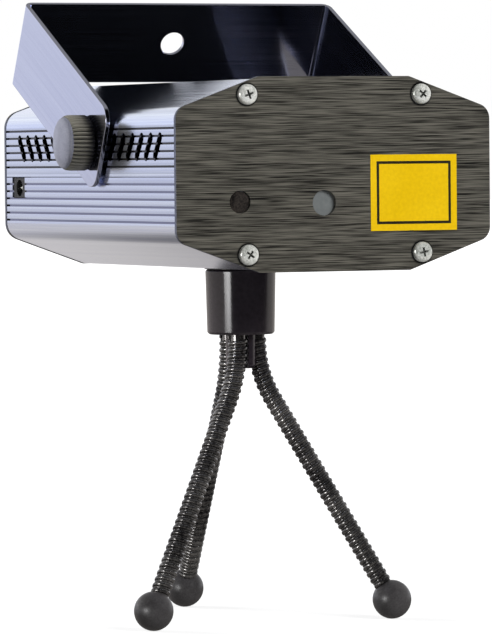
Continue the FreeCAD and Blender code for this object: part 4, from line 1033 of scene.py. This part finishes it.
def hang_lamps():
    """Softboxes turned towards the object."""
    for index, (direction, distance, size, watts, glints) in enumerate(SOFTBOXES):
        lamp = bpy.data.lights.new(f"softbox_{index}", "AREA")
        lamp.shape = "RECTANGLE"
        lamp.size, lamp.size_y = size
        lamp.energy = watts
        holder = bpy.data.objects.new(lamp.name, lamp)
        towards = Vector(direction).normalized()
        holder.location = AIM + towards * distance
        holder.rotation_euler = towards.to_track_quat("Z", "Y").to_euler()
        holder.visible_glossy = glints
        holder.visible_diffuse = not glints
        bpy.context.scene.collection.objects.link(holder)


def paper_room():
    """White paper round the object, cooler towards the floor, a grey ceiling and a dark room before it."""
    world = bpy.data.worlds.new("paper_room")
    bpy.context.scene.world = world
    world.use_nodes = True
    tree = world.node_tree
    tree.nodes.clear()
    direction = add_node(tree, "ShaderNodeTexCoord").outputs["Generated"]
    split = add_node(tree, "ShaderNodeSeparateXYZ", {"Vector": direction})
    rise = add_node(tree, "ShaderNodeMath",
                    {0: split.outputs["Y"], 1: CEILING_LEAN, 2: split.outputs["Z"]},
                    operation="MULTIPLY_ADD").outputs["Value"]
    below = add_node(tree, "ShaderNodeMapRange",
                     {"Value": rise, "From Min": CEILING_EDGE[0], "From Max": CEILING_EDGE[1],
                      "To Min": 1.0, "To Max": CEILING_LEVEL},
                     interpolation_type="SMOOTHSTEP").outputs["Result"]
    behind = add_node(tree, "ShaderNodeMapRange",
                      {"Value": split.outputs["Y"], "From Min": FRONT_EDGE[0], "From Max": FRONT_EDGE[1]},
                      interpolation_type="SMOOTHSTEP").outputs["Result"]
    under = add_node(tree, "ShaderNodeMapRange",
                     {"Value": split.outputs["Z"], "From Min": LOWER_EDGE[0],
                      "From Max": LOWER_EDGE[1]}).outputs["Result"]
    around = add_node(tree, "ShaderNodeMath", {0: behind, 1: under}, operation="MAXIMUM").outputs["Value"]
    paper = add_node(tree, "ShaderNodeMath", {0: below, 1: around}, operation="MULTIPLY").outputs["Value"]
    height = add_node(tree, "ShaderNodeMapRange",
                      {"Value": rise, "From Min": COOL_EDGE[0], "From Max": COOL_EDGE[1]}).outputs["Result"]
    sweep = add_node(tree, "ShaderNodeMix",
                     {MIX_FACTOR: height, MIX_A: linear("E6EBFF"), MIX_B: linear("FFFFFF")},
                     data_type="RGBA").outputs[MIX_RESULT]
    wall = add_node(tree, "ShaderNodeMix", {MIX_FACTOR: paper, MIX_A: DARK_ROOM, MIX_B: sweep},
                    data_type="RGBA").outputs[MIX_RESULT]
    path = add_node(tree, "ShaderNodeLightPath")
    shiny = add_node(tree, "ShaderNodeMath",
                     {0: path.outputs["Is Glossy Ray"], 1: path.outputs["Is Transmission Ray"]},
                     operation="ADD", use_clamp=True).outputs["Value"]
    lit = add_node(tree, "ShaderNodeMix", {MIX_FACTOR: shiny, MIX_A: ROOM_FILL, MIX_B: wall},
                   data_type="RGBA").outputs[MIX_RESULT]
    shown = add_node(tree, "ShaderNodeMix",
                     {MIX_FACTOR: path.outputs["Is Camera Ray"], MIX_A: lit, MIX_B: linear("FFFFFF")},
                     data_type="RGBA").outputs[MIX_RESULT]
    sky = add_node(tree, "ShaderNodeBackground", {"Color": shown})
    add_node(tree, "ShaderNodeOutputWorld", {"Surface": sky.outputs["Background"]})


# The photograph's view, as fitted: its height and focal length in pixels, distance, angles in degrees, and
# how far the view's middle lies from the middle of the front plate's face
IMAGE_H = 640
FOCAL_PX = 4882.9
CAMERA_DISTANCE = 1.300
CAMERA_YAW, CAMERA_PITCH, CAMERA_ROLL = -23.893, 1.892, -0.540
SHIFT_RIGHT, SHIFT_UP = -23.726 * MM, -38.929 * MM
SENSOR_H_MM = 24.0
CLIP_NEAR, CLIP_FAR = 0.05, 50.0


def set_camera():
    """The photograph's view, fitted to the end plate, the bracket and the feet."""
    yaw, pitch, roll = (math.radians(angle) for angle in (CAMERA_YAW, CAMERA_PITCH, CAMERA_ROLL))
    back = Vector((math.sin(yaw) * math.cos(pitch), -math.cos(yaw) * math.cos(pitch), math.sin(pitch)))
    level = Vector((math.cos(yaw), math.sin(yaw), 0))
    upright = back.cross(level)
    right = level * math.cos(roll) + upright * math.sin(roll)
    up = upright * math.cos(roll) - level * math.sin(roll)
    plate_middle = Vector((0, PLATE_FACE_Y, MID_Z))
    eye = plate_middle + right * SHIFT_RIGHT + up * SHIFT_UP + back * CAMERA_DISTANCE
    lens = bpy.data.cameras.new("camera")
    lens.sensor_fit = "VERTICAL"
    lens.sensor_height = SENSOR_H_MM
    lens.lens = FOCAL_PX / IMAGE_H * SENSOR_H_MM
    lens.clip_start = CLIP_NEAR
    lens.clip_end = CLIP_FAR
    camera = bpy.data.objects.new("camera", lens)
    camera.matrix_world = Matrix.Translation(eye) @ Matrix((right, up, back)).transposed().to_4x4()
    bpy.context.scene.collection.objects.link(camera)
    bpy.context.scene.camera = camera


lay_floor()
hang_lamps()
paper_room()
set_camera()
bpy.context.scene.view_settings.view_transform = "Standard"
